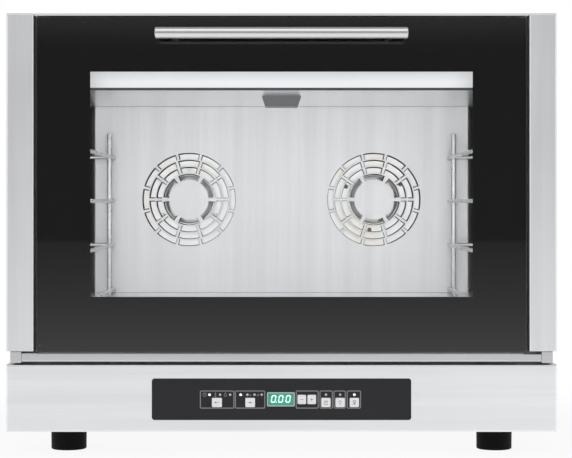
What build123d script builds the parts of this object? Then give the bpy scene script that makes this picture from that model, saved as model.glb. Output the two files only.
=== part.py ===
from build123d import *
import math
import os

# Convection oven for four trays, in millimetres.
# +Z is up, the front faces -Y, and the origin is under the middle of the oven on the surface it stands on.

# Overall size
body_width = 784.0
body_height = 634.0
overall_depth = 754.0
handle_reach = 48.5
vent_projection = 12.0

# Sheet metal
sheet = 1.2
cavity_sheet = 1.0
bend = 2.5
casing_bend = 4.0
casing_flange = 15.0

# Clearances
seam = 0.3
seat_gap = 0.05
running_gap = 0.06

# Feet
foot_height = 38.1
foot_diameter = 53.0
foot_neck_diameter = 52.0
foot_edge = 1.0
foot_recess_diameter = 16.0
foot_recess_depth = 12.0
foot_side_setback = 76.5
foot_front_setback = 108.5
foot_rear_setback = 95.0
foot_bolt_diameter = 8.0
foot_bolt_length = 38.0
foot_bolt_head_diameter = 13.0
foot_bolt_head_height = 5.3

# Fascia and control panel
fascia_height = 95.4
panel_width = 369.0
panel_height = 59.0
panel_corner = 4.0
panel_rise = 0.8
panel_thickness = 2.5
panel_lip = 5.0
panel_above_base = 46.65
key_rise = 1.0
key_travel = 0.8
key_gap = 0.3
key_corner = 1.6
key_flange = 1.2
key_overlap = 0.35
key_stem_diameter = 4.0
key_height = 13.2
key_widths = {
    "program": 14.2,
    "fan": 13.7,
    "minus": 12.2,
    "plus": 12.2,
    "steam": 13.2,
    "light": 13.2,
    "start": 13.2,
}
key_places = {
    "program": -91.8,
    "fan": -44.5,
    "minus": 28.9,
    "plus": 43.0,
    "steam": 63.2,
    "light": 83.4,
    "start": 103.6,
}
key_drop = 4.5
number_key_drop = 0.2
display_width = 39.5
display_height = 20.2
display_place = -0.9
display_thickness = 1.5
light_diameter = 2.6
light_row_rise = 6.6
program_lights = (-102.3, -87.4, -73.1)
fan_lights = (-58.1, -48.5, -38.4, -28.2)
board_thickness = 1.6
board_setback = 14.0
board_margin = 22.0
switch_size = 6.0
pillar_diameter = 4.0
pillar_inset = 3.2
pillar_rise = 19.5

# Front posts and top rail
post_width = 39.4
post_door_gap = 3.1
post_above_pivot = 9.0
rail_lip = 3.5
rail_leg = 29.0

# Door
door_depth = 40.0
door_top_gap = 1.0
glass_thickness = 4.0
glass_corner = 2.0
glass_edge = 0.8
border_thickness = 0.5
border_inset = 1.0
border_side = 77.0
border_top = 78.4
border_bottom = 79.7
frame_inset = 4.5
frame_top_inset = 7.5
opening_margin = 14.0
inner_glass_inset = 1.0
inner_glass_top_inset = 4.0
inner_glass_bottom_inset = 14.0
clip_width = 30.0
clip_overlap = 10.0
clip_spacing = 440.0
seal_gap = 4.0

# Door handle
handle_length = 354.0
handle_diameter = 16.5
handle_below_top = 27.5
handle_post_diameter = 12.0
handle_post_inset = 25.0
handle_screw_diameter = 5.0
handle_screw_depth = 14.0
handle_screw_head_diameter = 10.0
handle_screw_head_height = 4.0
glass_hole_diameter = 8.0

# Door hinge
pivot_above_fascia = 10.5
beam_height = 13.0
beam_depth = 14.0
beam_edge = 3.0
beam_end_gap = 0.4
beam_relief_depth = 2.0
beam_relief_length = 26.0
hinge_block_width = 15.7
hinge_block_outer_inset = 6.0
hinge_block_drop = 8.0
hinge_pin_diameter = 8.0
hinge_pin_engagement = 25.0
stay_radius = 75.0
stay_width = 8.0
stay_thickness = 3.0
stay_tail_angle = 3.5
stay_stop_radius = 3.0
stay_stop_gap = 0.2
stay_stop_length = 11.0
stay_slot_gap = 1.5
stay_pad_depth = 24.0
stay_pad_height = 34.0
door_opening = 90.0

# Cavity
cavity_side_space = 60.0
cavity_top_space = 104.9
cavity_floor_rise = 76.8
cavity_corner = 8.0
cavity_flange = 12.0
frame_below_fascia = 14.0
gasket_width = 8.0
gasket_side_offset = 4.0
gasket_top_offset = 32.0
gasket_corner = 10.0
gasket_edge = 2.6
gasket_contact_gap = 0.3

# Deflector and its two grilles
deflector_side_gap = 11.5
deflector_edge_gap = 0.4
deflector_flange = 18.0
fan_spacing = 317.0
grille_radius = 80.0
grille_pitch = 12.0
grille_slot = 10.0
grille_bridge = 4.0
grille_inner_bridge = 6.5
grille_ring_slots = (12, 10, 10, 6)
standoff_diameter = 10.0
standoff_side_inset = 24.0
standoff_end_inset = 26.0

# Fans, heaters and motors
chamber_depth = 66.0
impeller_radius = 96.0
impeller_depth = 42.0
impeller_sheet = 1.5
impeller_blades = 12
impeller_blade_reach = 44.0
impeller_blade_angle = 24.0
impeller_ring_width = 7.0
impeller_front_gap = 8.0
hub_radius = 13.0
shaft_diameter = 12.0
shaft_hole_gap = 3.0
heater_radius = 114.0
heater_tube_diameter = 8.0
heater_front_gap = 32.0
heater_terminal_angle = 12.0
heater_tail = 14.0
rear_insulation = 40.0
motor_flange_size = 96.0
motor_flange_thickness = 3.0
motor_radius = 42.0
motor_length = 46.0
motor_cap_radius = 33.0
motor_cap_length = 10.0
motor_bolt_spacing = 80.0
motor_bolt_diameter = 6.0
motor_bolt_head_diameter = 10.8
motor_bolt_head_height = 3.0
cooling_fan_radius = 36.0
cooling_fan_depth = 9.0
cooling_fan_blades = 8
cooling_fan_gap = 3.0
cooling_fan_cover_gap = 7.5
bulkhead_hole_gap = 8.0

# Tray racks
rack_levels = 4
rack_first_rise = 7.9
rack_last_drop = 87.85
rail_diameter = 6.0
rail_wall_gap = 46.0
rail_bend = 8.0
rail_rear_gap = 12.0
rail_hook = 5.0
rail_hook_bend = 4.0
rack_rod_diameter = 8.0
rack_front_rod_wall_gap = 27.0
rack_front_rod_setback = 32.5
rack_rod_drop = 48.1
rack_peg_depth = 5.0
rack_peg_gap = 0.3
rack_floor_gap = 0.3

# Vent, lamp and probe
vent_setback = 197.0
baffle_width = 61.0
baffle_bottom_width = 50.0
baffle_length = 46.0
baffle_drop = 15.7
baffle_sheet = 1.0
pipe_diameter = 28.0
pipe_wall = 1.2
pipe_rise = 68.0
pipe_bend = 34.0
lamp_setback = 135.0
lamp_drop = 56.8
lamp_glass_diameter = 52.0
lamp_glass_depth = 11.0
lamp_glass_wall = 2.5
lamp_flange = 3.0
lamp_hole_diameter = 44.0
lamp_body_diameter = 36.0
lamp_body_depth = 40.0
bulb_diameter = 22.0
probe_diameter = 6.0
probe_drop = 33.8
probe_reach = 48.0
probe_tail = 20.0

# Insulation
wrap_thickness = 40.0
wrap_setback = 47.0

# Rear cover, base and electrics
louvre_width = 70.0
louvre_height = 4.0
louvre_pitch = 13.0
louvre_rows = 7
louvre_columns = 2
louvre_hood = 4.0
tray_flange = 20.0
tray_slot_width = 60.0
tray_slot_height = 5.0
tray_slot_pitch = 16.0
tray_slots = 5
side_screws = 3
top_screws = 3
screw_head_diameter = 8.0
screw_head_height = 2.0
screw_diameter = 4.0
screw_length = 8.0
gland_diameter = 22.0
gland_neck_diameter = 17.0
gland_cap_taper = 1.4
gland_projection = 10.0
gland_bore = 11.0
gland_inset = 70.0
gland_rise = 35.9
power_board_length = 200.0
power_board_width = 110.0
power_board_side_gap = 120.5
power_board_rear_gap = 109.1
power_board_rise = 12.0
power_pillar_diameter = 10.0
relay_count = 4
relay_pitch = 30.0
relay_width = 20.0
relay_depth = 28.0
relay_height = 20.0
relay_side_inset = 14.0
relay_end_inset = 12.0
transformer_width = 48.0
transformer_depth = 42.0
transformer_height = 36.0
transformer_side_inset = 12.0
transformer_end_inset = 14.0
terminal_width = 60.0
terminal_depth = 28.0
terminal_height = 24.0

# Places worked out from the sizes
half_width = body_width / 2
front_y = handle_reach - overall_depth / 2
rear_y = overall_depth / 2 - vent_projection
face_y = front_y + door_depth + seal_gap
casing_front_y = face_y + seam
face_back_y = face_y + sheet
fascia_top = foot_height + fascia_height
pivot_y = front_y + beam_depth / 2
pivot_z = fascia_top + pivot_above_fascia
post_inner = half_width - post_width
post_bottom = pivot_z + post_above_pivot
glass_half = post_inner - post_door_gap
glass_bottom = pivot_z + beam_height / 2
glass_top = body_height - rail_lip - door_top_gap
glass_back_y = front_y + glass_thickness
border_back_y = glass_back_y + border_thickness
door_back_y = front_y + door_depth
pan_back_y = door_back_y - glass_thickness
pan_half = glass_half - frame_inset
pan_top = glass_top - frame_top_inset
window_x = (border_side - glass_half, glass_half - border_side)
window_z = (glass_bottom + border_bottom, glass_top - border_top)
handle_y = front_y - handle_reach + handle_diameter / 2
handle_z = glass_top - handle_below_top
handle_post_x = handle_length / 2 - handle_post_inset
block_outer = half_width - hinge_block_outer_inset
block_inner = block_outer - hinge_block_width
beam_half = block_inner - beam_end_gap
cavity_half = half_width - cavity_side_space
cavity_floor = fascia_top + cavity_floor_rise
cavity_top = body_height - cavity_top_space
cover_front_y = rear_y - sheet
cooling_back_y = cover_front_y - cooling_fan_cover_gap
cooling_front_y = cooling_back_y - cooling_fan_depth
motor_back_y = cooling_front_y - cooling_fan_gap
motor_front_y = motor_back_y - motor_cap_length - motor_length - motor_flange_thickness
bulkhead_back_y = motor_front_y
bulkhead_y = bulkhead_back_y - sheet
rear_wall_back_y = bulkhead_y - rear_insulation - 2 * seam
rear_wall_y = rear_wall_back_y - cavity_sheet
deflector_y = rear_wall_y - chamber_depth - cavity_sheet
inside_half = half_width - sheet - seam
inside_top = body_height - sheet - seam
tray_top = foot_height + sheet
fan_z = (cavity_floor + cavity_top) / 2
fan_places = {"left": -fan_spacing / 2, "right": fan_spacing / 2}
impeller_front_y = deflector_y + cavity_sheet + impeller_front_gap
impeller_back_y = impeller_front_y + impeller_depth
stay_inner = pan_half
stay_outer = stay_inner + stay_thickness
stay_open_reach = face_back_y + stay_stop_radius + stay_stop_gap - pivot_y
stay_stop_angle = door_opening - math.degrees(math.acos(stay_open_reach / stay_radius))
panel_z = foot_height + panel_above_base
panel_face_y = front_y - panel_rise
panel_back_y = panel_face_y + panel_thickness
board_y = front_y + board_setback
rail_place = cavity_half - rail_wall_gap
rod_front_x = cavity_half - rack_front_rod_wall_gap
rod_rear_x = rail_place + rail_diameter / 2 + rack_rod_diameter / 2 + seat_gap
rod_rear_y = deflector_y - rail_rear_gap - rack_rod_diameter / 2 - seat_gap
rod_front_y = face_y + rack_front_rod_setback
rod_top = cavity_top - rack_rod_drop
first_rail = cavity_floor + rack_first_rise
rail_pitch = (cavity_top - rack_last_drop - first_rail) / (rack_levels - 1)
rail_levels = [first_rail + level * rail_pitch for level in range(rack_levels)]
vent_y = face_y + vent_setback
gland_z = foot_height + gland_rise
wrap_front_y = face_back_y + wrap_setback
pipe_z = cavity_top + pipe_rise
foot_places = [
    (side * (half_width - foot_side_setback), y)
    for side in (-1, 1)
    for y in (front_y + foot_front_setback, rear_y - foot_rear_setback)
]


def middle(limits):
    return (limits[0] + limits[1]) / 2


def span(limits):
    return limits[1] - limits[0]


def grown(limits, amount):
    return (limits[0] - amount, limits[1] + amount)


def both(half):
    return (-half, half)


def block(x, y, z):
    """Box between two limits on each axis."""
    return Pos(middle(x), middle(y), middle(z)) * Box(span(x), span(y), span(z))


def upright(x, z, y, corner=0.0):
    """Plate that stands across the oven, with rounded corners."""
    outline = RectangleRounded(span(x), span(z), corner) if corner else Rectangle(span(x), span(z))
    place = Plane(origin=(middle(x), y[1], middle(z)), x_dir=(1, 0, 0), z_dir=(0, -1, 0))
    return extrude(place * outline, amount=span(y))


def rod(start, end, radius):
    """Round bar from one point to another."""
    axis = Vector(*end) - Vector(*start)
    return extrude(Plane(origin=start, z_dir=axis) * Circle(radius), amount=axis.length)


def sleeve(start, end, outer, inner):
    """Round bar with a bore from end to end."""
    axis = Vector(*end) - Vector(*start)
    return extrude(Plane(origin=start, z_dir=axis) * (Circle(outer) - Circle(inner)), amount=axis.length)


def turned(profile, x, z):
    """Solid turned about a line along Y from (radius, y) corners."""
    face = make_face(Polyline(*[(radius, y, 0) for radius, y in profile], close=True))
    return Pos(x, 0, z) * revolve(face, Axis.Y)


def wire(points, bends, radius):
    """Round wire bent along the points."""
    path = FilletPolyline(*points, radius=bends)
    start = Plane(origin=path @ 0, z_dir=path % 0)
    return sweep(start * Circle(radius), path=path)


def folded(points, thickness, radius, side):
    """Section of a sheet folded along the points of its outer face."""
    path = FilletPolyline(*points, radius=radius)
    return make_face(path.wire().offset_2d(thickness, side=side, closed=True))


def mirrored(shape):
    return mirror(shape, about=Plane.YZ)


def foot(place):
    """Rubber foot with a recess for its bolt."""
    top = foot_diameter / 2
    neck = foot_neck_diameter / 2
    profile = [(0, 0), (neck - foot_edge, 0), (neck, foot_edge), (top, foot_height), (0, foot_height)]
    body = revolve(Plane.XZ * make_face(Polyline(*profile, close=True)), Axis.Z)
    recess = Pos(0, 0, foot_recess_depth / 2) * Cylinder(foot_recess_diameter / 2, foot_recess_depth)
    hole = Pos(0, 0, foot_height / 2) * Cylinder(foot_bolt_diameter / 2 + seat_gap, foot_height)
    return Pos(*place, 0) * (body - recess - hole)


def foot_bolt(place):
    """Bolt that holds a foot, with its head in the recess."""
    head_z = foot_recess_depth - foot_bolt_head_height
    head = Pos(0, 0, head_z) * extrude(
        RegularPolygon(foot_bolt_head_diameter / 2, 6), amount=foot_bolt_head_height
    )
    shank = Pos(0, 0, foot_recess_depth) * extrude(
        Circle(foot_bolt_diameter / 2), amount=foot_bolt_length
    )
    return Pos(*place, 0) * (head + shank)


def base_tray():
    """Bottom pan with turned-up edges, bolt holes and air slots."""
    x = both(inside_half)
    y = (casing_front_y, cover_front_y - seam)
    pan = block(x, y, (foot_height, foot_height + tray_flange))
    hollow = block(grown(x, -sheet), grown(y, -sheet), (tray_top, foot_height + 2 * tray_flange))
    tray = pan - hollow
    hole = Cylinder(foot_bolt_diameter / 2 + seat_gap, 4 * sheet)
    holes = [Pos(*place, foot_height) * hole for place in foot_places]
    slots = [
        block(
            both(tray_slot_width / 2),
            (number * tray_slot_pitch, number * tray_slot_pitch + tray_slot_height),
            (foot_height - sheet, tray_top + sheet),
        )
        for number in range(tray_slots)
    ]
    return tray - holes - slots


def outer_casing():
    """Left side, top and right side folded from one sheet, with a flange behind for the cover."""
    corners = [
        (-half_width, foot_height),
        (-half_width, body_height),
        (half_width, body_height),
        (half_width, foot_height),
    ]
    skin = folded(corners, sheet, casing_bend, Side.RIGHT)
    flange = folded(corners, casing_flange, casing_bend, Side.RIGHT)
    wrap_plane = Plane(origin=(0, rear_y, 0), x_dir=(1, 0, 0), z_dir=(0, -1, 0))
    wrap = extrude(wrap_plane * skin, amount=rear_y - casing_front_y)
    rim_plane = Plane(origin=(0, cover_front_y, 0), x_dir=(1, 0, 0), z_dir=(0, -1, 0))
    rim = extrude(rim_plane * flange, amount=sheet)
    rim -= block(both(half_width), (face_y, rear_y + sheet), (0, foot_height + tray_flange + seam))
    return wrap + (rim - cover_screw_holes())


def cover_screw_places():
    """Screws round the rear cover, as (x, z)."""
    side_x = half_width - casing_flange / 2
    top_z = body_height - casing_flange / 2
    low_z = foot_height + tray_flange + casing_flange
    heights = [low_z + step * (top_z - foot_height) / side_screws for step in range(side_screws)]
    sides = [(side * side_x, z) for side in (-1, 1) for z in heights]
    step = body_width / (top_screws + 1)
    return sides + [(step * (number - (top_screws - 1) / 2), top_z) for number in range(top_screws)]


def cover_screw_holes():
    radius = screw_diameter / 2 + seat_gap
    y = (cover_front_y - 2 * sheet, rear_y + sheet)
    return [rod((x, y[0], z), (x, y[1], z), radius) for x, z in cover_screw_places()]


def casing_screws():
    """Pan-head screws that hold the rear cover."""
    screws = []
    for x, z in cover_screw_places():
        head = rod((x, rear_y, z), (x, rear_y + screw_head_height, z), screw_head_diameter / 2)
        shank = rod((x, rear_y - screw_length, z), (x, rear_y, z), screw_diameter / 2)
        screws.append(head + shank)
    return screws


def louvre(x, z):
    """Pressed hood over one air slot in the rear cover, and the slot itself."""
    low = z - louvre_height / 2
    section = make_face(
        Polyline(
            (rear_y, low + 2 * louvre_height),
            (rear_y + louvre_hood, low + sheet),
            (rear_y + louvre_hood, low),
            (rear_y, low + 2 * louvre_height - 2 * sheet),
            close=True,
        )
    )
    place = Plane(origin=(x - louvre_width / 2, 0, 0), x_dir=(0, 1, 0), z_dir=(1, 0, 0))
    hood = extrude(place * section, amount=louvre_width)
    slot_x = grown((x, x), louvre_width / 2)
    slot = block(slot_x, (cover_front_y - sheet, rear_y + sheet), (low, low + louvre_height))
    return hood, slot


def gland_place():
    return (inside_half - gland_inset, gland_z)


def rear_cover():
    """Back panel with louvres behind the motors, and holes for the vent pipe, cable gland and screws."""
    z = (foot_height + seam, inside_top)
    cover = upright(both(inside_half), z, (cover_front_y, rear_y), casing_bend)
    hoods = []
    slots = []
    for fan_x in fan_places.values():
        for column in range(louvre_columns):
            x = fan_x + (column - (louvre_columns - 1) / 2) * (louvre_width + louvre_pitch)
            for row in range(louvre_rows):
                hood, slot = louvre(x, fan_z + (row - (louvre_rows - 1) / 2) * louvre_pitch)
                hoods.append(hood)
                slots.append(slot)
    y = (cover_front_y - sheet, rear_y + sheet)
    pipe_hole = rod((0, y[0], pipe_z), (0, y[1], pipe_z), pipe_diameter / 2 + seam)
    x, z = gland_place()
    gland_hole = rod((x, y[0], z), (x, y[1], z), gland_neck_diameter / 2)
    return cover - slots - pipe_hole - gland_hole - cover_screw_holes() + hoods


def cable_gland():
    """Threaded gland with its nut inside the cover and its cap outside, open for the supply cable."""
    x, z = gland_place()
    bore = gland_bore / 2
    cap = gland_diameter / 2
    neck = gland_neck_diameter / 2 - seat_gap
    profile = [
        (bore, cover_front_y - gland_projection),
        (cap, cover_front_y - gland_projection),
        (cap, cover_front_y - seat_gap),
        (neck, cover_front_y - seat_gap),
        (neck, rear_y + seat_gap),
        (cap, rear_y + seat_gap),
        (cap - gland_cap_taper, rear_y + gland_projection),
        (bore, rear_y + gland_projection),
    ]
    return turned(profile, x, z)


def fascia():
    """Folded front below the door, with the cut-out for the control panel."""
    x = both(half_width)
    z = (foot_height, fascia_top)
    shell = upright(x, z, (front_y, face_y))
    front_edges = shell.edges().filter_by_position(Axis.Y, front_y - seam, front_y + seam)
    shell = fillet(front_edges, bend)
    hollow = block(grown(x, -sheet), (front_y + sheet, face_y + sheet), grown(z, -sheet))
    cutout = upright(
        both(panel_width / 2 + seat_gap),
        (panel_z - panel_height / 2 - seat_gap, panel_z + panel_height / 2 + seat_gap),
        (front_y - sheet, front_y + 2 * sheet),
        panel_corner + seat_gap,
    )
    return shell - hollow - cutout


def post():
    """Right front post, folded from sheet and closed at both ends."""
    section = folded(
        [(post_inner, face_y), (post_inner, front_y), (half_width, front_y), (half_width, face_y)],
        sheet,
        bend,
        Side.LEFT,
    )
    column = extrude(Pos(0, 0, post_bottom) * section, amount=body_height - post_bottom)
    x = (post_inner + sheet, half_width - sheet)
    y = (front_y + sheet, face_y)
    cap = block(x, y, (body_height - sheet, body_height))
    floor = block(x, y, (post_bottom, post_bottom + sheet))
    body = column + cap + floor
    crown = body.edges().filter_by(Axis.Y).sort_by(Axis.Z)[-2:].sort_by(Axis.X)[-1]
    return fillet(crown, bend)


def top_rail():
    """Folded strip over the door, between the posts."""
    points = [
        (front_y, body_height - rail_lip),
        (front_y, body_height),
        (face_y, body_height),
        (face_y, body_height - rail_leg),
    ]
    section = folded(points, sheet, sheet + seam, Side.RIGHT)
    half = post_inner - seam
    place = Plane(origin=(-half, 0, 0), x_dir=(0, 1, 0), z_dir=(1, 0, 0))
    return extrude(place * section, amount=2 * half)


def stay_ring(inner, outer, x):
    """Ring about the door's pivot line, between two radii and two places along X."""
    centre = Plane(origin=(x[0], pivot_y, pivot_z), x_dir=(0, 1, 0), z_dir=(1, 0, 0))
    return extrude(centre * (Circle(outer) - Circle(inner)), amount=span(x))


def front_frame():
    """Face of the oven round the cavity mouth, with a slot for each stay arm."""
    z = (fascia_top - frame_below_fascia, inside_top)
    plate = upright(both(inside_half), z, (face_y, face_back_y), casing_bend)
    mouth = upright(
        both(cavity_half), (cavity_floor, cavity_top), (face_y - sheet, face_back_y + sheet), cavity_corner
    )
    slot_ring = stay_ring(
        stay_radius - stay_width / 2 - stay_slot_gap,
        stay_radius + stay_width / 2 + stay_slot_gap,
        (stay_inner - stay_slot_gap / 2, stay_outer + stay_slot_gap / 2),
    )
    slot = slot_ring & block(
        both(half_width), (face_y - sheet, face_back_y + sheet), (pivot_z, pivot_z + 2 * stay_radius)
    )
    return plate - mouth - slot - mirrored(slot)


def cavity_shell():
    """Floor, sides and ceiling of the cavity, with the holes for the racks, the vent and the lamp."""
    y = (face_back_y, rear_wall_y)
    outer = upright(
        both(cavity_half + cavity_sheet),
        (cavity_floor - cavity_sheet, cavity_top + cavity_sheet),
        y,
        cavity_corner + cavity_sheet,
    )
    inner = upright(both(cavity_half), (cavity_floor, cavity_top), grown(y, sheet), cavity_corner)
    shell = outer - inner
    radius = rail_diameter / 2 + rack_peg_gap
    for peg_y, peg_z in rack_peg_places():
        shell -= rod((-half_width, peg_y, peg_z), (half_width, peg_y, peg_z), radius)
    vent = Pos(0, vent_y, cavity_top) * Cylinder(pipe_diameter / 2 - pipe_wall, 4 * cavity_sheet)
    lamp_y, lamp_z = lamp_place()
    lamp = rod(
        (cavity_half - cavity_sheet, lamp_y, lamp_z),
        (cavity_half + 2 * cavity_sheet, lamp_y, lamp_z),
        lamp_hole_diameter / 2,
    )
    return shell - vent - lamp


def heater_terminal_places(fan_x):
    """Where a heater's two ends go through the rear wall, as (x, z)."""
    angles = [math.radians(270 + side * heater_terminal_angle) for side in (-1, 1)]
    return [(fan_x + heater_radius * math.cos(a), fan_z + heater_radius * math.sin(a)) for a in angles]


def rear_holes(y, shaft_radius, small_gap):
    """Holes for the shafts, the heaters and the probe."""
    holes = []
    for fan_x in fan_places.values():
        holes.append(rod((fan_x, y[0], fan_z), (fan_x, y[1], fan_z), shaft_radius))
        for x, z in heater_terminal_places(fan_x):
            holes.append(rod((x, y[0], z), (x, y[1], z), heater_tube_diameter / 2 + small_gap))
    probe_z = cavity_top - probe_drop
    holes.append(rod((0, y[0], probe_z), (0, y[1], probe_z), probe_diameter / 2 + small_gap))
    return holes


def cavity_rear_wall():
    """Back of the cavity, behind the fans, with the four posts that carry the deflector."""
    wall = upright(
        both(cavity_half + cavity_flange),
        (cavity_floor - cavity_flange, cavity_top + cavity_flange),
        (rear_wall_y, rear_wall_back_y),
        cavity_corner,
    )
    y = (rear_wall_y - cavity_sheet, rear_wall_back_y + cavity_sheet)
    return wall - rear_holes(y, shaft_diameter / 2 + shaft_hole_gap, seam) + deflector_standoffs()


def door_gasket():
    """Soft seal round the cavity mouth, which the door's inner glass presses on."""
    y = (face_y - seal_gap + gasket_contact_gap, face_y)
    x = cavity_half + gasket_side_offset
    z = (cavity_floor - gasket_side_offset, cavity_top + gasket_top_offset)
    outer = upright(both(x + gasket_width), grown(z, gasket_width), y, gasket_corner + gasket_width)
    inner = upright(both(x), z, grown(y, seam), gasket_corner)
    ring = outer - inner
    front_edges = ring.edges().filter_by_position(Axis.Y, y[0] - seam / 2, y[0] + seam / 2)
    return fillet(front_edges, gasket_edge)


def grille_slots(x):
    """Arc slots of one round grille, ring by ring from the rim inwards."""
    slots = []
    y = (deflector_y - sheet, deflector_y + sheet + cavity_sheet)
    for ring, count in enumerate(grille_ring_slots):
        outer = grille_radius - ring * grille_pitch
        inner = outer - grille_slot
        bridge = grille_inner_bridge if ring == len(grille_ring_slots) - 1 else grille_bridge
        first = 180 / count if ring == 0 else 0
        for number in range(count):
            spread = 360 / count - math.degrees(bridge / (outer - grille_slot / 2))
            centre = first + (number + 0.5) * 360 / count
            start = centre - spread / 2
            arc_out = CenterArc((0, 0), outer, start, spread)
            arc_in = CenterArc((0, 0), inner, start, spread)
            sides = [Line(arc_out @ 0, arc_in @ 0), Line(arc_out @ 1, arc_in @ 1)]
            face = make_face([arc_out, arc_in, *sides])
            place = Plane(origin=(x, y[1], fan_z), x_dir=(1, 0, 0), z_dir=(0, -1, 0))
            slots.append(extrude(place * face, amount=span(y)))
    return slots


def standoff_places():
    """Corners of the deflector, as (x, z)."""
    x = cavity_half - deflector_side_gap - standoff_side_inset
    z = (cavity_floor + standoff_end_inset, cavity_top - standoff_end_inset)
    return [(side * x, height) for side in (-1, 1) for height in z]


def deflector_panel():
    """Sheet in front of the fans, with two slotted grilles and its sides folded back."""
    half = cavity_half - deflector_side_gap
    z = (cavity_floor + deflector_edge_gap, cavity_top - deflector_edge_gap)
    points = [
        (-half, deflector_y + deflector_flange),
        (-half, deflector_y),
        (half, deflector_y),
        (half, deflector_y + deflector_flange),
    ]
    section = folded(points, cavity_sheet, bend, Side.LEFT)
    panel = extrude(Pos(0, 0, z[0]) * section, amount=span(z))
    for fan_x in fan_places.values():
        panel -= grille_slots(fan_x)
    return panel


def deflector_standoffs():
    """Posts between the rear wall and the deflector's corners."""
    return [
        rod((x, deflector_y + cavity_sheet, z), (x, rear_wall_y, z), standoff_diameter / 2)
        for x, z in standoff_places()
    ]


def heating_element(fan_x):
    """Ring heater round one fan, whose two ends pass through the rear wall."""
    ring_y = deflector_y + cavity_sheet + heater_front_gap
    tube = heater_tube_diameter / 2
    gap = 2 * heater_terminal_angle
    turn = CenterArc((0, 0), heater_radius, 270 + heater_terminal_angle, 360 - gap)
    place = Plane(origin=(fan_x, ring_y, fan_z), x_dir=(1, 0, 0), z_dir=(0, -1, 0))
    path = place * turn
    loop = sweep(Plane(origin=path @ 0, z_dir=path % 0) * Circle(tube), path=path)
    tail_y = rear_wall_back_y + heater_tail
    tails = [rod((x, ring_y, z), (x, tail_y, z), tube) for x, z in heater_terminal_places(fan_x)]
    knuckles = [Pos(x, ring_y, z) * Sphere(tube) for x, z in heater_terminal_places(fan_x)]
    return loop + tails + knuckles


def impeller(fan_x):
    """Fan wheel: back disc, tilted blades, front ring and hub."""
    disc = rod((0, impeller_back_y - impeller_sheet, 0), (0, impeller_back_y, 0), impeller_radius)
    ring = sleeve(
        (0, impeller_front_y, 0),
        (0, impeller_front_y + impeller_sheet, 0),
        impeller_radius,
        impeller_radius - impeller_ring_width,
    )
    blade_x = (impeller_radius - impeller_blade_reach, impeller_radius - seam)
    blade = block(blade_x, (impeller_front_y, impeller_back_y), both(impeller_sheet / 2))
    pitch_radius = impeller_radius - impeller_blade_reach / 2
    tilted = Pos(pitch_radius, 0, 0) * Rot(0, impeller_blade_angle, 0) * Pos(-pitch_radius, 0, 0) * blade
    rim = rod((0, impeller_front_y, 0), (0, impeller_back_y, 0), impeller_radius)
    tilted = tilted & rim
    blades = [Rot(0, number * 360 / impeller_blades, 0) * tilted for number in range(impeller_blades)]
    hub = rod((0, impeller_front_y, 0), (0, impeller_back_y, 0), hub_radius)
    bore_y = (impeller_front_y - sheet, impeller_back_y + sheet)
    bore = rod((0, bore_y[0], 0), (0, bore_y[1], 0), shaft_diameter / 2 + seat_gap)
    return Pos(fan_x, 0, fan_z) * (disc + ring + blades + hub - bore)


def fan_shaft(fan_x):
    """Shaft from the impeller through the motor to its cooling fan."""
    return rod((fan_x, impeller_front_y, fan_z), (fan_x, cooling_back_y, fan_z), shaft_diameter / 2)


def cooling_fan(fan_x):
    """Small fan on the motor's rear shaft end."""
    y = (cooling_front_y, cooling_back_y)
    disc = rod((0, y[0], 0), (0, y[0] + impeller_sheet, 0), cooling_fan_radius)
    blade = block((hub_radius, cooling_fan_radius), y, both(impeller_sheet / 2))
    blades = [Rot(0, number * 360 / cooling_fan_blades, 0) * blade for number in range(cooling_fan_blades)]
    hub = rod((0, y[0], 0), (0, y[1], 0), hub_radius + impeller_sheet)
    bore = rod((0, y[0] - sheet, 0), (0, y[1] + sheet, 0), shaft_diameter / 2 + seat_gap)
    return Pos(fan_x, 0, fan_z) * (disc + blades + hub - bore)


def motor(fan_x):
    """Fan motor with a square flange, a round stator and a stepped rear cap."""
    flange_y = motor_front_y + motor_flange_thickness
    half = motor_flange_size / 2
    flange = upright(both(half), both(half), (motor_front_y, flange_y), hub_radius)
    stator_y = flange_y + motor_length
    profile = [
        (shaft_diameter / 2 + running_gap, motor_front_y),
        (motor_radius - bend, motor_front_y),
        (motor_radius - bend, flange_y),
        (motor_radius, flange_y + bend),
        (motor_radius, stator_y - bend),
        (motor_cap_radius, stator_y),
        (motor_cap_radius, motor_back_y - bend),
        (motor_cap_radius - 2 * bend, motor_back_y),
        (shaft_diameter / 2 + running_gap, motor_back_y),
    ]
    bore_y = (motor_front_y - sheet, motor_back_y + sheet)
    bore = rod((0, bore_y[0], 0), (0, bore_y[1], 0), shaft_diameter / 2 + running_gap)
    plate = Pos(fan_x, 0, fan_z) * (flange - bore)
    return plate + turned(profile, fan_x, fan_z) - motor_bolt_holes(fan_x)


def motor_bolt_places(fan_x):
    half = motor_bolt_spacing / 2
    return [(fan_x + side * half, fan_z + level * half) for side in (-1, 1) for level in (-1, 1)]


def motor_bolt_holes(fan_x):
    """Bolt holes through a motor's flange and the bulkhead."""
    radius = motor_bolt_diameter / 2 + seat_gap
    y = (bulkhead_y - sheet, motor_front_y + motor_flange_thickness + sheet)
    return [rod((x, y[0], z), (x, y[1], z), radius) for x, z in motor_bolt_places(fan_x)]


def motor_bolts():
    """Hexagon bolts that hold the motors to the bulkhead."""
    seat_y = motor_front_y + motor_flange_thickness
    bolts = []
    for fan_x in fan_places.values():
        for x, z in motor_bolt_places(fan_x):
            head_plane = Plane(origin=(x, seat_y, z), z_dir=(0, 1, 0))
            hexagon = RegularPolygon(motor_bolt_head_diameter / 2, 6)
            head = extrude(head_plane * hexagon, amount=motor_bolt_head_height)
            shank = rod((x, bulkhead_y, z), (x, seat_y, z), motor_bolt_diameter / 2)
            bolts.append(head + shank)
    return bolts


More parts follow.
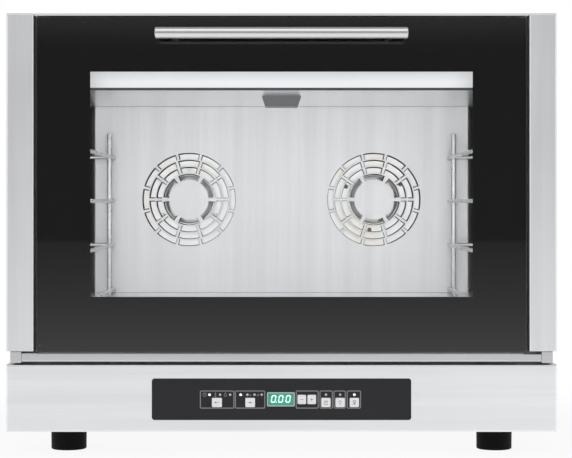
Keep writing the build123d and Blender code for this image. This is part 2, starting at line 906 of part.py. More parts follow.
def rear_bulkhead():
    """Sheet behind the insulation that carries the motors."""
    z = (foot_height + tray_flange + seam, inside_top)
    plate = upright(both(inside_half), z, (bulkhead_y, bulkhead_back_y), casing_bend)
    y = (bulkhead_y - sheet, bulkhead_back_y + sheet)
    shaft_hole = shaft_diameter / 2 + bulkhead_hole_gap
    shafts = [rod((x, y[0], fan_z), (x, y[1], fan_z), shaft_hole) for x in fan_places.values()]
    pipe = rod((0, y[0], pipe_z), (0, y[1], pipe_z), pipe_diameter / 2 + seam)
    plate = plate - shafts - pipe
    for x in fan_places.values():
        plate -= motor_bolt_holes(x)
    return plate


def insulation():
    """Mineral wool round the cavity and behind it."""
    outer = block(
        both(inside_half),
        (wrap_front_y, rear_wall_y - seam),
        (cavity_floor - cavity_sheet - wrap_thickness, cavity_top + cavity_sheet + wrap_thickness),
    )
    inner = block(
        both(cavity_half + cavity_sheet + rack_peg_depth + rack_peg_gap),
        (wrap_front_y - sheet, rear_wall_y),
        (cavity_floor - cavity_sheet - seam, cavity_top + cavity_sheet + seam),
    )
    lamp_y, lamp_z = lamp_place()
    lamp = rod((cavity_half, lamp_y, lamp_z), (half_width, lamp_y, lamp_z), lamp_glass_diameter / 2 + seam)
    pipe_hole = Cylinder(pipe_diameter / 2 + bend, 2 * wrap_thickness)
    pipe = Pos(0, vent_y, cavity_top + wrap_thickness / 2) * pipe_hole
    wrap = outer - inner - lamp - pipe
    y = (rear_wall_back_y + seam, bulkhead_y - seam)
    rear_z = grown((cavity_floor, cavity_top), wrap_thickness)
    rear = block(both(cavity_half + cavity_flange), y, rear_z)
    rear -= rear_holes(grown(y, sheet), shaft_diameter / 2 + bulkhead_hole_gap, shaft_hole_gap)
    return [wrap, rear]


def rack_peg_places():
    """Where the racks plug into the side walls, as (y, z)."""
    return [(y, z) for y in (rod_front_y, rod_rear_y) for z in (rail_levels[1], rail_levels[-1])]


def rack():
    """Right tray rack: four rails, a front rod, a rear stop rod and the pegs that plug into the wall."""
    rail = rail_diameter / 2
    upright_rod = rack_rod_diameter / 2
    end_x = rod_front_x - upright_rod - seat_gap
    rear_end = deflector_y - rail_rear_gap + rail
    wires = []
    for level, z in enumerate(rail_levels):
        points = [(end_x, rod_front_y, z), (rail_place, rod_front_y, z), (rail_place, rear_end, z)]
        bends = [rail_bend]
        if level in (0, rack_levels - 1):
            points.append((rail_place, rear_end, z - rail_hook))
            bends.append(rail_hook_bend)
        wires.append(wire(points, bends, rail))
    bottom = cavity_floor + rack_floor_gap
    peg_end = cavity_half + cavity_sheet + rack_peg_depth
    for x, y in ((rod_front_x, rod_front_y), (rod_rear_x, rod_rear_y)):
        bar = rod((x, y, bottom), (x, y, rod_top), upright_rod)
        pegs = [rod((x, y, z), (peg_end, y, z), rail) for peg_y, z in rack_peg_places() if peg_y == y]
        wires.append(bar + pegs)
    return wires


def vent_baffle():
    """Folded cover under the vent, narrower below, open at the back."""
    outer = baffle_solid(baffle_width, baffle_bottom_width, baffle_length, 0)
    inner = baffle_solid(
        baffle_width - 2 * baffle_sheet, baffle_bottom_width - 2 * baffle_sheet, baffle_length, baffle_sheet
    )
    return outer - inner


def baffle_solid(top_width, bottom_width, length, inset):
    """Trapezium prism that hangs from the ceiling, moved back and up by the inset."""
    low = cavity_top - baffle_drop + inset
    section = make_face(
        Polyline(
            (-top_width / 2, cavity_top),
            (top_width / 2, cavity_top),
            (bottom_width / 2, low),
            (-bottom_width / 2, low),
            close=True,
        )
    )
    back_y = vent_y + length / 2 + inset
    place = Plane(origin=(0, back_y, 0), x_dir=(1, 0, 0), z_dir=(0, -1, 0))
    return extrude(place * section, amount=length)


def vent_pipe():
    """Steam pipe from the ceiling up and out through the back."""
    points = [
        (0, vent_y, cavity_top + cavity_sheet),
        (0, vent_y, pipe_z),
        (0, overall_depth / 2, pipe_z),
    ]
    outer = wire(points, pipe_bend, pipe_diameter / 2)
    inner = wire(points, pipe_bend, pipe_diameter / 2 - pipe_wall)
    return outer - inner


def lamp_place():
    """Lamp on the right side wall, as (y, z)."""
    return (face_y + lamp_setback, cavity_top - lamp_drop)


def turned_from_wall(profile):
    """Solid turned about the lamp's axis from (radius, distance inwards from the side wall) corners."""
    y, z = lamp_place()
    face = make_face(Polyline(*[(cavity_half - depth, radius, 0) for radius, depth in profile], close=True))
    return Pos(0, y, z) * revolve(face, Axis.X)


def lamp_glass():
    """Domed glass over the lamp, with a flange on the wall."""
    rim = lamp_glass_diameter / 2
    dome = rim - lamp_flange - lamp_glass_wall
    profile = [
        (rim, 0),
        (rim, lamp_flange),
        (dome, lamp_flange),
        (dome - lamp_flange, lamp_glass_depth),
        (0, lamp_glass_depth),
        (0, lamp_glass_depth - lamp_glass_wall),
        (dome - lamp_flange - lamp_glass_wall, lamp_glass_depth - lamp_glass_wall),
        (dome - lamp_glass_wall, 0),
    ]
    return turned_from_wall(profile)


def oven_lamp():
    """Lamp holder in the side wall, with its bulb."""
    holder = lamp_body_diameter / 2
    flange = -cavity_sheet
    back = flange - lamp_body_depth
    bulb = bulb_diameter / 2
    tip = lamp_glass_depth - 2 * lamp_glass_wall
    profile = [
        (0, tip),
        (bulb / 2, tip),
        (bulb, -bulb / 2),
        (bulb / 2, -2 * bulb),
        (holder - sheet, -2 * bulb),
        (holder - sheet, flange),
        (lamp_glass_diameter / 2, flange),
        (lamp_glass_diameter / 2, flange - sheet),
        (holder, flange - sheet),
        (holder, back),
        (0, back),
    ]
    return turned_from_wall(profile)


def temperature_probe():
    """Thin probe through the rear wall, above and between the fans."""
    z = cavity_top - probe_drop
    stem = rod((0, rear_wall_y - probe_reach, z), (0, rear_wall_back_y + probe_tail, z), probe_diameter / 2)
    collar_y = (rear_wall_y - sheet, rear_wall_y)
    collar = sleeve((0, collar_y[0], z), (0, collar_y[1], z), probe_diameter, probe_diameter / 2 - seat_gap)
    return stem + collar


def glass_holes(y):
    """Holes through the door glass for the handle screws."""
    places = [side * handle_post_x for side in (-1, 1)]
    return [rod((x, y[0], handle_z), (x, y[1], handle_z), glass_hole_diameter / 2) for x in places]


def door_outer_glass():
    """Front glass of the door."""
    plate = upright(both(glass_half), (glass_bottom, glass_top), (front_y, glass_back_y), glass_corner)
    front_edges = plate.edges().filter_by_position(Axis.Y, front_y - seam, front_y + seam)
    plate = chamfer(front_edges, glass_edge)
    return plate - glass_holes((front_y - sheet, glass_back_y + sheet))


def glass_border():
    """Black border on the back of the front glass, round the clear window."""
    y = (glass_back_y, border_back_y)
    z = (glass_bottom + border_inset, glass_top - border_inset)
    plate = upright(both(glass_half - border_inset), z, y, glass_corner)
    window = upright(window_x, window_z, grown(y, sheet))
    return plate - window - glass_holes(grown(y, sheet))


def door_frame():
    """Steel pan behind the front glass, with a boxed opening for the window."""
    x = both(pan_half)
    z = (glass_bottom, pan_top)
    opening_x = grown(window_x, opening_margin)
    opening_z = grown(window_z, opening_margin)
    y = (border_back_y, pan_back_y)
    pan = upright(x, z, y, glass_corner) - block(opening_x, grown(y, sheet), opening_z)
    hollow = block(grown(x, -sheet), (border_back_y - sheet, pan_back_y - sheet), grown(z, -sheet))
    hollow -= block(grown(opening_x, sheet), grown(y, sheet), grown(opening_z, sheet))
    return pan - hollow


def inner_glass_limits():
    x = both(pan_half - inner_glass_inset)
    return x, (glass_bottom + inner_glass_bottom_inset, pan_top - inner_glass_top_inset)


def door_inner_glass():
    """Glass on the cavity side of the door."""
    x, z = inner_glass_limits()
    return upright(x, z, (pan_back_y, door_back_y), glass_corner)


def glass_clips():
    """Folded clips on the pan that hold the inner glass at its top and bottom edges."""
    z = inner_glass_limits()[1]
    lip = (door_back_y + seat_gap, door_back_y + seat_gap + sheet)
    clips = []
    for side in (-1, 1):
        x = (side * clip_spacing / 2 - clip_width / 2, side * clip_spacing / 2 + clip_width / 2)
        low_leg = block(x, (pan_back_y, lip[1]), (z[0] - seat_gap - 2 * sheet, z[0] - seat_gap))
        low_lip = block(x, lip, (z[0] - seat_gap - 2 * sheet, z[0] + clip_overlap))
        high_leg = block(x, (pan_back_y, lip[1]), (z[1] + seat_gap, z[1] + seat_gap + 2 * sheet))
        high_lip = block(x, lip, (z[1] - clip_overlap, z[1] + seat_gap + 2 * sheet))
        clips += [low_leg + low_lip, high_leg + high_lip]
    return clips


def handle_bar():
    """Round bar across the top of the door."""
    end = handle_length / 2
    bar = rod((-end, handle_y, handle_z), (end, handle_y, handle_z), handle_diameter / 2)
    return chamfer(bar.edges().filter_by(GeomType.CIRCLE), glass_edge)


def handle_posts():
    """Two posts between the glass and the bar, each shaped to the bar and tapped for its screw."""
    end = handle_length / 2
    bar = rod((-end, handle_y, handle_z), (end, handle_y, handle_z), handle_diameter / 2)
    posts = []
    for side in (-1, 1):
        x = side * handle_post_x
        post_body = rod((x, handle_y, handle_z), (x, front_y, handle_z), handle_post_diameter / 2)
        tapping = rod(
            (x, front_y - handle_screw_depth - sheet, handle_z),
            (x, front_y + sheet, handle_z),
            handle_screw_diameter / 2 + seat_gap,
        )
        posts.append(post_body - bar - tapping)
    return posts


def handle_screws():
    """Screws from behind the glass into the posts, each with its washer."""
    screws = []
    for side in (-1, 1):
        x = side * handle_post_x
        head_y = border_back_y + handle_screw_head_height
        head = rod((x, border_back_y, handle_z), (x, head_y, handle_z), handle_screw_head_diameter / 2)
        tip_y = front_y - handle_screw_depth
        shank = rod((x, tip_y, handle_z), (x, border_back_y, handle_z), handle_screw_diameter / 2)
        screws.append(head + shank)
    return screws


def door_beam():
    """Steel beam under the glass that carries the door on its two pins, stepped down at its right end."""
    place = Plane(origin=(-beam_half, pivot_y, pivot_z), x_dir=(0, 1, 0), z_dir=(1, 0, 0))
    beam = extrude(place * RectangleRounded(beam_depth, beam_height, beam_edge), amount=2 * beam_half)
    bore = hinge_pin_diameter / 2 + seat_gap
    for side in (-1, 1):
        inner = side * (beam_half - hinge_pin_engagement)
        beam -= rod((inner, pivot_y, pivot_z), (side * half_width, pivot_y, pivot_z), bore)
    relief_x = (beam_half - beam_relief_length, half_width)
    relief_y = grown((front_y, front_y + beam_depth), sheet)
    relief_z = (glass_bottom - beam_relief_depth, glass_bottom + beam_height)
    return beam - block(relief_x, relief_y, relief_z)


def hinge_pins():
    """Pins in the beam's ends, which turn in the hinge blocks."""
    return [
        rod(
            (side * (beam_half - hinge_pin_engagement), pivot_y, pivot_z),
            (side * (block_outer - sheet), pivot_y, pivot_z),
            hinge_pin_diameter / 2,
        )
        for side in (-1, 1)
    ]


def hinge_block():
    """Right hinge block, under the post and against the front frame, with the bore for the pin."""
    z = (pivot_z - hinge_block_drop, post_bottom)
    body = block((block_inner, block_outer), (front_y, face_y), z)
    front_edges = body.edges().filter_by(Axis.X).sort_by(Axis.Y)[:2]
    body = fillet(front_edges, bend)
    radius = hinge_pin_diameter / 2 + running_gap
    return body - rod((block_inner - sheet, pivot_y, pivot_z), (half_width, pivot_y, pivot_z), radius)


def stay_arm():
    """Right stay arm: an arc about the pivot with a pad on the door and a stop pin on its tail."""
    x = (stay_inner, stay_outer)
    ring = stay_ring(stay_radius - stay_width / 2, stay_radius + stay_width / 2, x)
    reach = 2 * stay_radius
    pad_y = (border_back_y + sheet, border_back_y + sheet + stay_pad_depth)
    tail = math.radians(-stay_stop_angle - stay_tail_angle)
    keep = make_face(
        Polyline(
            (0, 0),
            (reach * math.cos(tail), reach * math.sin(tail)),
            (reach, reach),
            (middle(pad_y) - pivot_y, reach),
            close=True,
        )
    )
    sector = Plane(origin=(x[0], pivot_y, pivot_z), x_dir=(0, 1, 0), z_dir=(1, 0, 0)) * keep
    arc = ring & extrude(sector, amount=span(x))
    pad_z = pivot_z + stay_radius - stay_width / 2
    pad = block(x, pad_y, (pad_z - stay_width, pad_z - stay_width + stay_pad_height))
    stop = math.radians(-stay_stop_angle)
    stop_y = pivot_y + stay_radius * math.cos(stop)
    stop_z = pivot_z + stay_radius * math.sin(stop)
    pin_x = grown((middle(x), middle(x)), stay_stop_length / 2)
    pin = rod((pin_x[0], stop_y, stop_z), (pin_x[1], stop_y, stop_z), stay_stop_radius)
    return arc + pad + pin


def key_centre(name):
    """Middle of a key on the control panel, as (x, z)."""
    drop = number_key_drop if name in ("minus", "plus") else key_drop
    return (key_places[name], panel_z - drop)


def key_limits(name, margin):
    x, z = key_centre(name)
    return grown((x, x), key_widths[name] / 2 + margin), grown((z, z), key_height / 2 + margin)


def light_places():
    """Indicator lights on the control panel, as (x, z)."""
    row = panel_z + light_row_rise
    over_keys = [key_places[name] for name in ("steam", "light", "start")]
    return [(x, row) for x in (*program_lights, *fan_lights, *over_keys)]


def control_panel():
    """Panel in the fascia, held by a lip behind the sheet, with openings for keys, lights and display."""
    x = both(panel_width / 2)
    z = (panel_z - panel_height / 2, panel_z + panel_height / 2)
    plate = upright(x, z, (panel_face_y, panel_back_y), panel_corner)
    lip_y = (front_y + sheet + seat_gap, panel_back_y + sheet)
    lip = upright(grown(x, panel_lip), grown(z, panel_lip), lip_y, panel_corner)
    through = (panel_face_y - sheet, panel_back_y + 2 * sheet)
    panel = plate + lip
    for name in key_places:
        panel -= upright(*key_limits(name, key_gap), through, key_corner)
    radius = light_diameter / 2 + seat_gap
    for light_x, light_z in light_places():
        panel -= rod((light_x, through[0], light_z), (light_x, through[1], light_z), radius)
    display_x, display_z = display_limits(seat_gap)
    return panel - block(display_x, through, display_z)


def display_limits(margin):
    x = grown((display_place, display_place), display_width / 2 + margin)
    return x, grown((panel_z, panel_z), display_height / 2 + margin)


def display_lens():
    """Clear lens over the digits."""
    x, z = display_limits(0)
    return block(x, (panel_face_y, panel_face_y + display_thickness), z)


def key(name):
    """Key cap with a retaining flange behind the panel and a stem to its switch."""
    x, z = key_limits(name, 0)
    lip_y = panel_back_y + sheet + seam
    cap = upright(x, z, (panel_face_y - key_rise, lip_y), key_corner)
    cap_y = panel_face_y - key_rise
    face_edges = cap.edges().filter_by_position(Axis.Y, cap_y - seam, cap_y + seam)
    cap = chamfer(face_edges, seam)
    reach = key_gap + key_overlap
    flange = block(grown(x, reach), (lip_y, lip_y + key_flange), grown(z, reach))
    centre_x, centre_z = key_centre(name)
    stem_end = board_y - switch_size / 2 - key_travel - seam
    stem = rod((centre_x, lip_y, centre_z), (centre_x, stem_end, centre_z), key_stem_diameter / 2)
    return cap + flange + stem


def indicator_lights():
    """Light rods from the control board to the face of the panel."""
    return [rod((x, panel_face_y, z), (x, board_y, z), light_diameter / 2) for x, z in light_places()]


def control_board():
    """Circuit board behind the panel, with a switch for each key, the display module and four pillars."""
    half = panel_width / 2 - board_margin
    z = (panel_z - panel_height / 2, panel_z + panel_height / 2)
    board = block(both(half), (board_y, board_y + board_thickness), z)
    switches = []
    for name in key_places:
        x, height = key_centre(name)
        switch_x = grown((x, x), switch_size / 2)
        switch_z = grown((height, height), switch_size / 2)
        switches.append(block(switch_x, (board_y - switch_size / 2, board_y), switch_z))
    lens_back = panel_face_y + display_thickness
    display_x, display_z = display_limits(-sheet)
    module = block(display_x, (lens_back, board_y), display_z)
    pillar_y = (panel_back_y + sheet, board_y)
    pillars = []
    for side in (-1, 1):
        for level in (-1, 1):
            x = side * (half - pillar_inset)
            height = panel_z + level * pillar_rise
            pillars.append(rod((x, pillar_y[0], height), (x, pillar_y[1], height), pillar_diameter / 2))
    return board + switches + module + pillars


def power_board():
    """Power board on pillars, with its relays and a transformer."""
    left = power_board_side_gap - inside_half
    rear = bulkhead_y - power_board_rear_gap
    x = (left, left + power_board_length)
    y = (rear - power_board_width, rear)
    z = (tray_top + power_board_rise, tray_top + power_board_rise + board_thickness)
    board = block(x, y, z)
    relays = []
    for number in range(relay_count):
        start = x[0] + relay_side_inset + number * relay_pitch
        relay_y = (y[0] + relay_end_inset, y[0] + relay_end_inset + relay_depth)
        relays.append(block((start, start + relay_width), relay_y, (z[1], z[1] + relay_height)))
    transformer_x = (x[1] - transformer_side_inset - transformer_width, x[1] - transformer_side_inset)
    transformer_y = (y[1] - transformer_end_inset - transformer_depth, y[1] - transformer_end_inset)
    transformer = block(transformer_x, transformer_y, (z[1], z[1] + transformer_height))
    pillars = [
        Pos(px, py, (tray_top + z[0]) / 2) * Cylinder(power_pillar_diameter / 2, power_board_rise)
        for px in grown(x, -power_pillar_diameter)
        for py in grown(y, -power_pillar_diameter)
    ]
    return board + relays + transformer + pillars


def terminal_block():
    """Supply terminals on the base tray, near the gland."""
    x = gland_place()[0]
    y = bulkhead_back_y + terminal_depth
    terminal_x = grown((x, x), terminal_width / 2)
    return block(terminal_x, grown((y, y), terminal_depth / 2), (tray_top, tray_top + terminal_height))


def save(name, shape):
    pieces = shape if isinstance(shape, list) else [shape]
    solids = [solid for piece in pieces for solid in piece.solids()]
    result = solids[0] if len(solids) == 1 else Compound(children=solids)
    result.label = name
    export_step(result, os.path.join("parts", name + ".step"))


nodes = {
    "base_tray": base_tray(),
    "feet": [foot(place) for place in foot_places],
    "outer_casing": outer_casing(),
    "rear_cover": rear_cover(),
    "casing_screws": casing_screws(),
    "cable_gland": cable_gland(),
    "fascia": fascia(),
    "post_right": post(),
    "post_left": mirrored(post()),
    "top_rail": top_rail(),
    "front_frame": front_frame(),
    "hinge_block_right": hinge_block(),
    "hinge_block_left": mirrored(hinge_block()),
    "cavity_shell": cavity_shell(),
    "cavity_rear_wall": cavity_rear_wall(),
    "door_gasket": door_gasket(),
    "deflector_panel": deflector_panel(),
    "rear_bulkhead": rear_bulkhead(),
    "fixing_bolts": [foot_bolt(place) for place in foot_places] + motor_bolts(),
    "insulation": insulation(),
    "rack_right": rack(),
    "rack_left": [mirrored(piece) for piece in rack()],
    "vent_baffle": vent_baffle(),
    "vent_pipe": vent_pipe(),
    "lamp_glass": lamp_glass(),
    "oven_lamp": oven_lamp(),
    "temperature_probe": temperature_probe(),
    "door_outer_glass": door_outer_glass(),
    "glass_border": glass_border(),
    "door_frame": door_frame(),
    "door_inner_glass": door_inner_glass(),
    "glass_clips": glass_clips(),
    "handle_bar": handle_bar(),
    "handle_posts": handle_posts(),
    "handle_screws": handle_screws(),
    "door_beam": door_beam(),
    "hinge_pins": hinge_pins(),
    "stay_arm_right": stay_arm(),
    "stay_arm_left": mirrored(stay_arm()),
    "control_panel": control_panel(),
    "display_lens": display_lens(),
    "indicator_lights": indicator_lights(),
    "control_board": control_board(),
    "power_board": [power_board(), terminal_block()],
}
for side, place in fan_places.items():
    nodes["heating_element_" + side] = heating_element(place)
    nodes["impeller_" + side] = impeller(place)
    nodes["fan_shaft_" + side] = [fan_shaft(place), cooling_fan(place)]
    nodes["motor_" + side] = motor(place)
for name in key_places:
    nodes["key_" + name] = key(name)

os.makedirs("parts", exist_ok=True)
for name, shape in nodes.items():
    save(name, shape)
print(len(nodes), "nodes")
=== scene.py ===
import math

import bmesh
import bpy
import numpy as np
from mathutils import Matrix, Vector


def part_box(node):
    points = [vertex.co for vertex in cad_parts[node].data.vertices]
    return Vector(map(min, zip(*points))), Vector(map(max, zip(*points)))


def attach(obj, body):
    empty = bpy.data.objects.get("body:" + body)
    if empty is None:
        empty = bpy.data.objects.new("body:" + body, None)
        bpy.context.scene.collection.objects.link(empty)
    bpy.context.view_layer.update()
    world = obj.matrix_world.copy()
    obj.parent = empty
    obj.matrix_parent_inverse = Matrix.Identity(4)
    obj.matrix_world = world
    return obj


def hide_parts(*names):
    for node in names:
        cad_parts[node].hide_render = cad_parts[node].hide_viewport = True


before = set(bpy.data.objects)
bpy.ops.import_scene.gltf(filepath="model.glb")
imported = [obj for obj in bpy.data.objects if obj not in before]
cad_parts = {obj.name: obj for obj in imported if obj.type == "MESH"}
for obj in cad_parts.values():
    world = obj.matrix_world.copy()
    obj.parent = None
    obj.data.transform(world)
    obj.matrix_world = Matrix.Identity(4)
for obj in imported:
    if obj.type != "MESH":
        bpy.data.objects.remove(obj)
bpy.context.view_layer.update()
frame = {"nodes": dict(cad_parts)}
nodes = frame["nodes"]
along_x, along_y, along_z = range(3)

# Camera: distance from the door's front, height, and where the oven stands in the picture
picture_width = 572
camera_distance = 2.464
camera_height = 0.3654
camera_lens = 109.0
middle_right_of_oven = 4.5
middle_below_camera = 27.0

# Control panel: printed boxes and lit pieces, in metres, with X across the panel from its middle
box_sides = (
    (-0.1154, -0.0677),
    (-0.0656, -0.0238),
    (0.0209, 0.0521),
    (0.0548, 0.0723),
    (0.0747, 0.0908),
    (0.0935, 0.1124),
)
box_foot = 0.0723
box_head = 0.0966
box_corner = 0.0014
print_rise = 0.00012
outline_width = 0.0013
frame_width = 0.0016
icon_width = 0.0007
sign_width = 0.00055
lit_lights = (-0.1023, -0.0581, 0.1036)
light_radius = 0.0013
rim_width = 0.0005
digit_height = 0.0110
digit_width = 0.0071
digit_stroke = 0.0017
digit_slant = 0.15
digit_pitch = 0.0103
digit_middle_z = 0.0853
lying_bar_cut = 0.35 * digit_stroke / 2
standing_bar_share = 0.8
point_radius = 0.45 * digit_stroke
point_gap = 0.0004
clock_left_of_light = 0.0070
thermometer_left_of_light = 0.0066
drop_left_of_light = 0.0068
speed_left_of_light = 0.0055
speed_below_light = 0.0018
speed_bar_pitch = 0.0011
speed_bar_height = 0.0016
speed_bar_growth = 0.0009
clock_radius = 0.0026
bulb_radius = 0.0009
drop_radius = 0.0016
sign_reach = 0.0022

# Small pieces that the solids leave out, in metres, with turns in degrees from the right, anticlockwise
brushing_depth = 0.00002
cavity_corner = 0.008
seal_bead_width = 0.0020
seal_bead_rise = 0.0009
grille_radius = 0.080
grille_pitch = 0.012
grille_slot = 0.010
grille_bridge = 0.0040
grille_inner_bridge = 0.0065
grille_ring_slots = (12, 10, 10, 6)
deflector_thickness = 0.001
# Slot lips carry painted shade: dark strips for the shadow lines at the slots' outer edges, widest at each
# grille's broad turn
lip_reach = 0.0023
end_lip_reach = 0.0017
lip_depth = 0.0042
lip_thickness = 0.0005
lip_mean_share = 0.68
lip_swing_share = 0.32
lip_broad_turns = {"left": 145, "right": 35}
shroud_thickness = 0.0008
shroud_rim_gap = 0.0003
inlet_radius = 0.0395
inlet_roll = 0.003
rivet_circle = 0.0525
rivet_radius = 0.0036
rivet_height = 0.0016
rivet_turns = {"left": (90, 210, 330), "right": (30, 155, 262)}
screw_head_radius = 0.0042
screw_least_height = 0.0020
screw_spacing = 0.012
cross_half_width = 0.00065
cross_reach = 0.0023
cross_depth = 0.0011

# Light: each studio lamp's place, target, width and height in metres, and power in watts
studio_lamps = {
    "high_lamp": ((0.0, -1.6, 2.6), (0, 0, 0.3), (3.2, 1.8), 19),
    "left_lamp": ((-2.6, -1.6, 1.4), (0, 0, 0.35), (2.4, 2.4), 18),
    "right_lamp": ((2.6, -1.6, 1.4), (0, 0, 0.35), (2.4, 2.4), 17),
}
floor_reach = 14.0

# Lamps in the cavity's mouth: brightness, and sizes and places in metres
mouth_lamp_level = 0.76
mouth_lamp_gap = 0.01
strip_level = 10
strip_size = (0.03, 0.22)
strip_aside = 0.215
strip_height = 0.37
strip_behind_mouth = 0.004


class Link:
    """The output of a node. Arithmetic on it adds Math nodes, on either side of the sign."""

    def __init__(self, nodes, output):
        self.nodes = nodes
        self.output = output

    def calculate(self, operation, *terms):
        """One Math node on the terms, in their order."""
        return self.nodes.add("Math", {"operation": operation}, dict(enumerate(terms)))

    def __add__(self, other):
        return self.calculate("ADD", self, other)

    def __sub__(self, other):
        return self.calculate("SUBTRACT", self, other)

    def __rsub__(self, other):
        return self.calculate("SUBTRACT", other, self)

    def __mul__(self, other):
        return self.calculate("MULTIPLY", self, other)

    def __truediv__(self, other):
        return self.calculate("DIVIDE", self, other)

    def __rtruediv__(self, other):
        return self.calculate("DIVIDE", other, self)

    def __pow__(self, other):
        return self.calculate("POWER", self, other)

    def __abs__(self):
        return self.calculate("ABSOLUTE", self)

    def __gt__(self, other):
        return self.calculate("GREATER_THAN", self, other)

    def __lt__(self, other):
        return self.calculate("LESS_THAN", self, other)

    __radd__ = __add__
    __rmul__ = __mul__


class Nodes:
    """The nodes of one material or of the surroundings."""

    def __init__(self, tree):
        self.tree = tree
        tree.nodes.clear()

    def add(self, kind, settings=None, sockets=None, output=0):
        """Adds a node: its settings first, then the value or the link of each socket."""
        node = self.tree.nodes.new("ShaderNode" + kind)
        for name, value in (settings or {}).items():
            setattr(node, name, value)
        for key, value in (sockets or {}).items():
            if isinstance(value, Link):
                self.tree.links.new(value.output, node.inputs[key])
            else:
                node.inputs[key].default_value = value
        return Link(self, node.outputs[output]) if node.outputs else None

    def place(self, scale=(1, 1, 1)):
        """The point on the object, with its own scale along each axis."""
        point = self.add("TexCoord", output="Object")
        return self.add("Mapping", {}, {"Vector": point, "Scale": scale})

    def axis(self, number):
        """One coordinate of the point on the object."""
        point = self.add("TexCoord", output="Object")
        return self.add("SeparateXYZ", {}, {"Vector": point}, output=number)

    def facing(self, number):
        """One coordinate of the surface's direction, on the object at rest."""
        normal = self.add("TexCoord", output="Normal")
        return self.add("SeparateXYZ", {}, {"Vector": normal}, output=number)

    def noise(self, point, scale=1.0, detail=2.0, roughness=0.5):
        """Soft noise, read at the point."""
        sockets = {"Vector": point, "Scale": scale, "Detail": detail, "Roughness": roughness}
        return self.add("TexNoise", {}, sockets)

    def smooth(self, value, low, high):
        """Nothing below one value, all above another, and a soft step between them."""
        settings = {"interpolation_type": "SMOOTHSTEP"}
        return self.add("MapRange", settings, {"Value": value, "From Min": low, "From Max": high})

    def blend(self, share, first, second):
        """Mix of two colours."""
        settings = {"data_type": "RGBA"}
        return self.add("Mix", settings, {0: share, 6: opaque(first), 7: opaque(second)}, output=2)

    def bump(self, height, distance):
        """Direction of a surface with this relief: its height from 0 to 1, and its depth in metres."""
        return self.add("Bump", {}, {"Height": height, "Distance": distance})

    def surface(self, shader):
        """Joins a shader to the material's output."""
        self.add("OutputMaterial", {}, {"Surface": shader})


def opaque(colour):
    """A colour with full alpha. A link is left as it is."""
    return colour if isinstance(colour, Link) else (*colour, 1)


def finish(name, **sockets):
    """A material, with plain values on the sockets of its Principled shader."""
    material = bpy.data.materials.new(name)
    material.use_nodes = True
    made = Nodes(material.node_tree)
    made.material = material
    made.sockets = {key.replace("_", " "): value for key, value in sockets.items()}
    return made


def finished(made, **sockets):
    """Ends a material: what varies over the surface joins its plain values."""
    values = made.sockets | {key.replace("_", " "): value for key, value in sockets.items()}
    if not isinstance(values.get("Base Color"), (Link, type(None))):
        values["Base Color"] = opaque(values["Base Color"])
    if "Emission Color" in values:
        values["Emission Color"] = opaque(values["Emission Color"])
    made.surface(made.add("BsdfPrincipled", {}, values))
    return made.material


def drawn_out(grain, across, along):
    """Scale of a pattern on each axis: one along the grain, another across it."""
    scale = [across] * 3
    scale[grain] = along
    return scale


def brushing(made, grain):
    """Fine lines along one axis."""
    return made.noise(made.place(drawn_out(grain, 1700.0, 9.0)), detail=3.0, roughness=0.7)


def brushed_steel(name, grain, tone=0.76, roughness=0.42, tint=(0.975, 0.982, 1.0)):
    """Stainless sheet with fine lines along one axis, broad soft bands and faint clouds."""
    made = finish(name, Metallic=1.0)
    fine = brushing(made, grain)
    broad = made.noise(made.place(drawn_out(grain, 60.0, 1.2)), detail=2.0)
    cloud = made.noise(made.place((4.0, 4.0, 4.0)), detail=3.0)
    light = tuple(tone * 1.04 * part for part in tint)
    dark = tuple(tone * 0.93 * part for part in tint)
    shade = 0.35 * fine + 0.4 * broad + 0.25 * cloud
    colour = made.blend(made.smooth(shade, 0.34, 0.66), dark, light)
    rough = roughness + 0.10 * (fine - 0.5) + 0.10 * (cloud - 0.5)
    return finished(made, Base_Color=colour, Roughness=rough, Normal=made.bump(fine, brushing_depth))


def cavity_steel(name, fan_chamber):
    """Bright brushed sheet in the cavity, dark behind the deflector: partly heat browning, partly painted
    shade of the closed fan chamber.
    """
    made = finish(name, Metallic=1.0)
    fine = brushing(made, along_y)
    cloud = made.noise(made.place((5.0, 5.0, 5.0)), detail=3.0)
    bright = made.blend(0.5 * fine + 0.5 * cloud, (0.86, 0.865, 0.875), (0.94, 0.945, 0.95))
    # Very dark brown behind the deflector: heat browning and painted shade of the fan chamber
    browning_and_shade = made.blend(cloud, (0.10, 0.095, 0.09), (0.20, 0.19, 0.18))
    soft = 0.004
    behind = made.smooth(made.axis(along_y), fan_chamber - soft, fan_chamber + soft)
    colour = made.blend(behind, bright, browning_and_shade)
    rough = 0.25 + 0.10 * (fine - 0.5) + 0.20 * behind
    return finished(made, Base_Color=colour, Roughness=rough, Normal=made.bump(fine, brushing_depth))


def galvanised_sheet(name):
    """Zinc-coated sheet with its pattern of grains."""
    made = finish(name, Metallic=1.0)
    grains = made.add("TexVoronoi", {}, {"Vector": made.place(), "Scale": 70.0}, output="Color")
    grey = made.add("SeparateColor", {}, {"Color": grains})
    cloud = made.noise(made.place(), scale=9.0, detail=4.0)
    colour = made.blend(0.6 * grey + 0.4 * cloud, (0.50, 0.52, 0.53), (0.64, 0.655, 0.66))
    rough = 0.36 + 0.16 * grey
    return finished(made, Base_Color=colour, Roughness=rough, Normal=made.bump(grey, 0.00001))


def polished_steel(name, tone, roughness, streaks=(1400.0, 20.0, 20.0)):
    """Bright steel with faint turning marks."""
    made = finish(name, Metallic=1.0)
    marks = made.noise(made.place(streaks), detail=2.0)
    cloud = made.noise(made.place(), scale=22.0, detail=2.0)
    colour = made.blend(marks, (tone * 0.96,) * 3, (tone,) * 3)
    rough = roughness + 0.06 * (cloud - 0.5) + 0.05 * (marks - 0.5)
    return finished(made, Base_Color=colour, Roughness=rough, Normal=made.bump(marks, 0.000004))


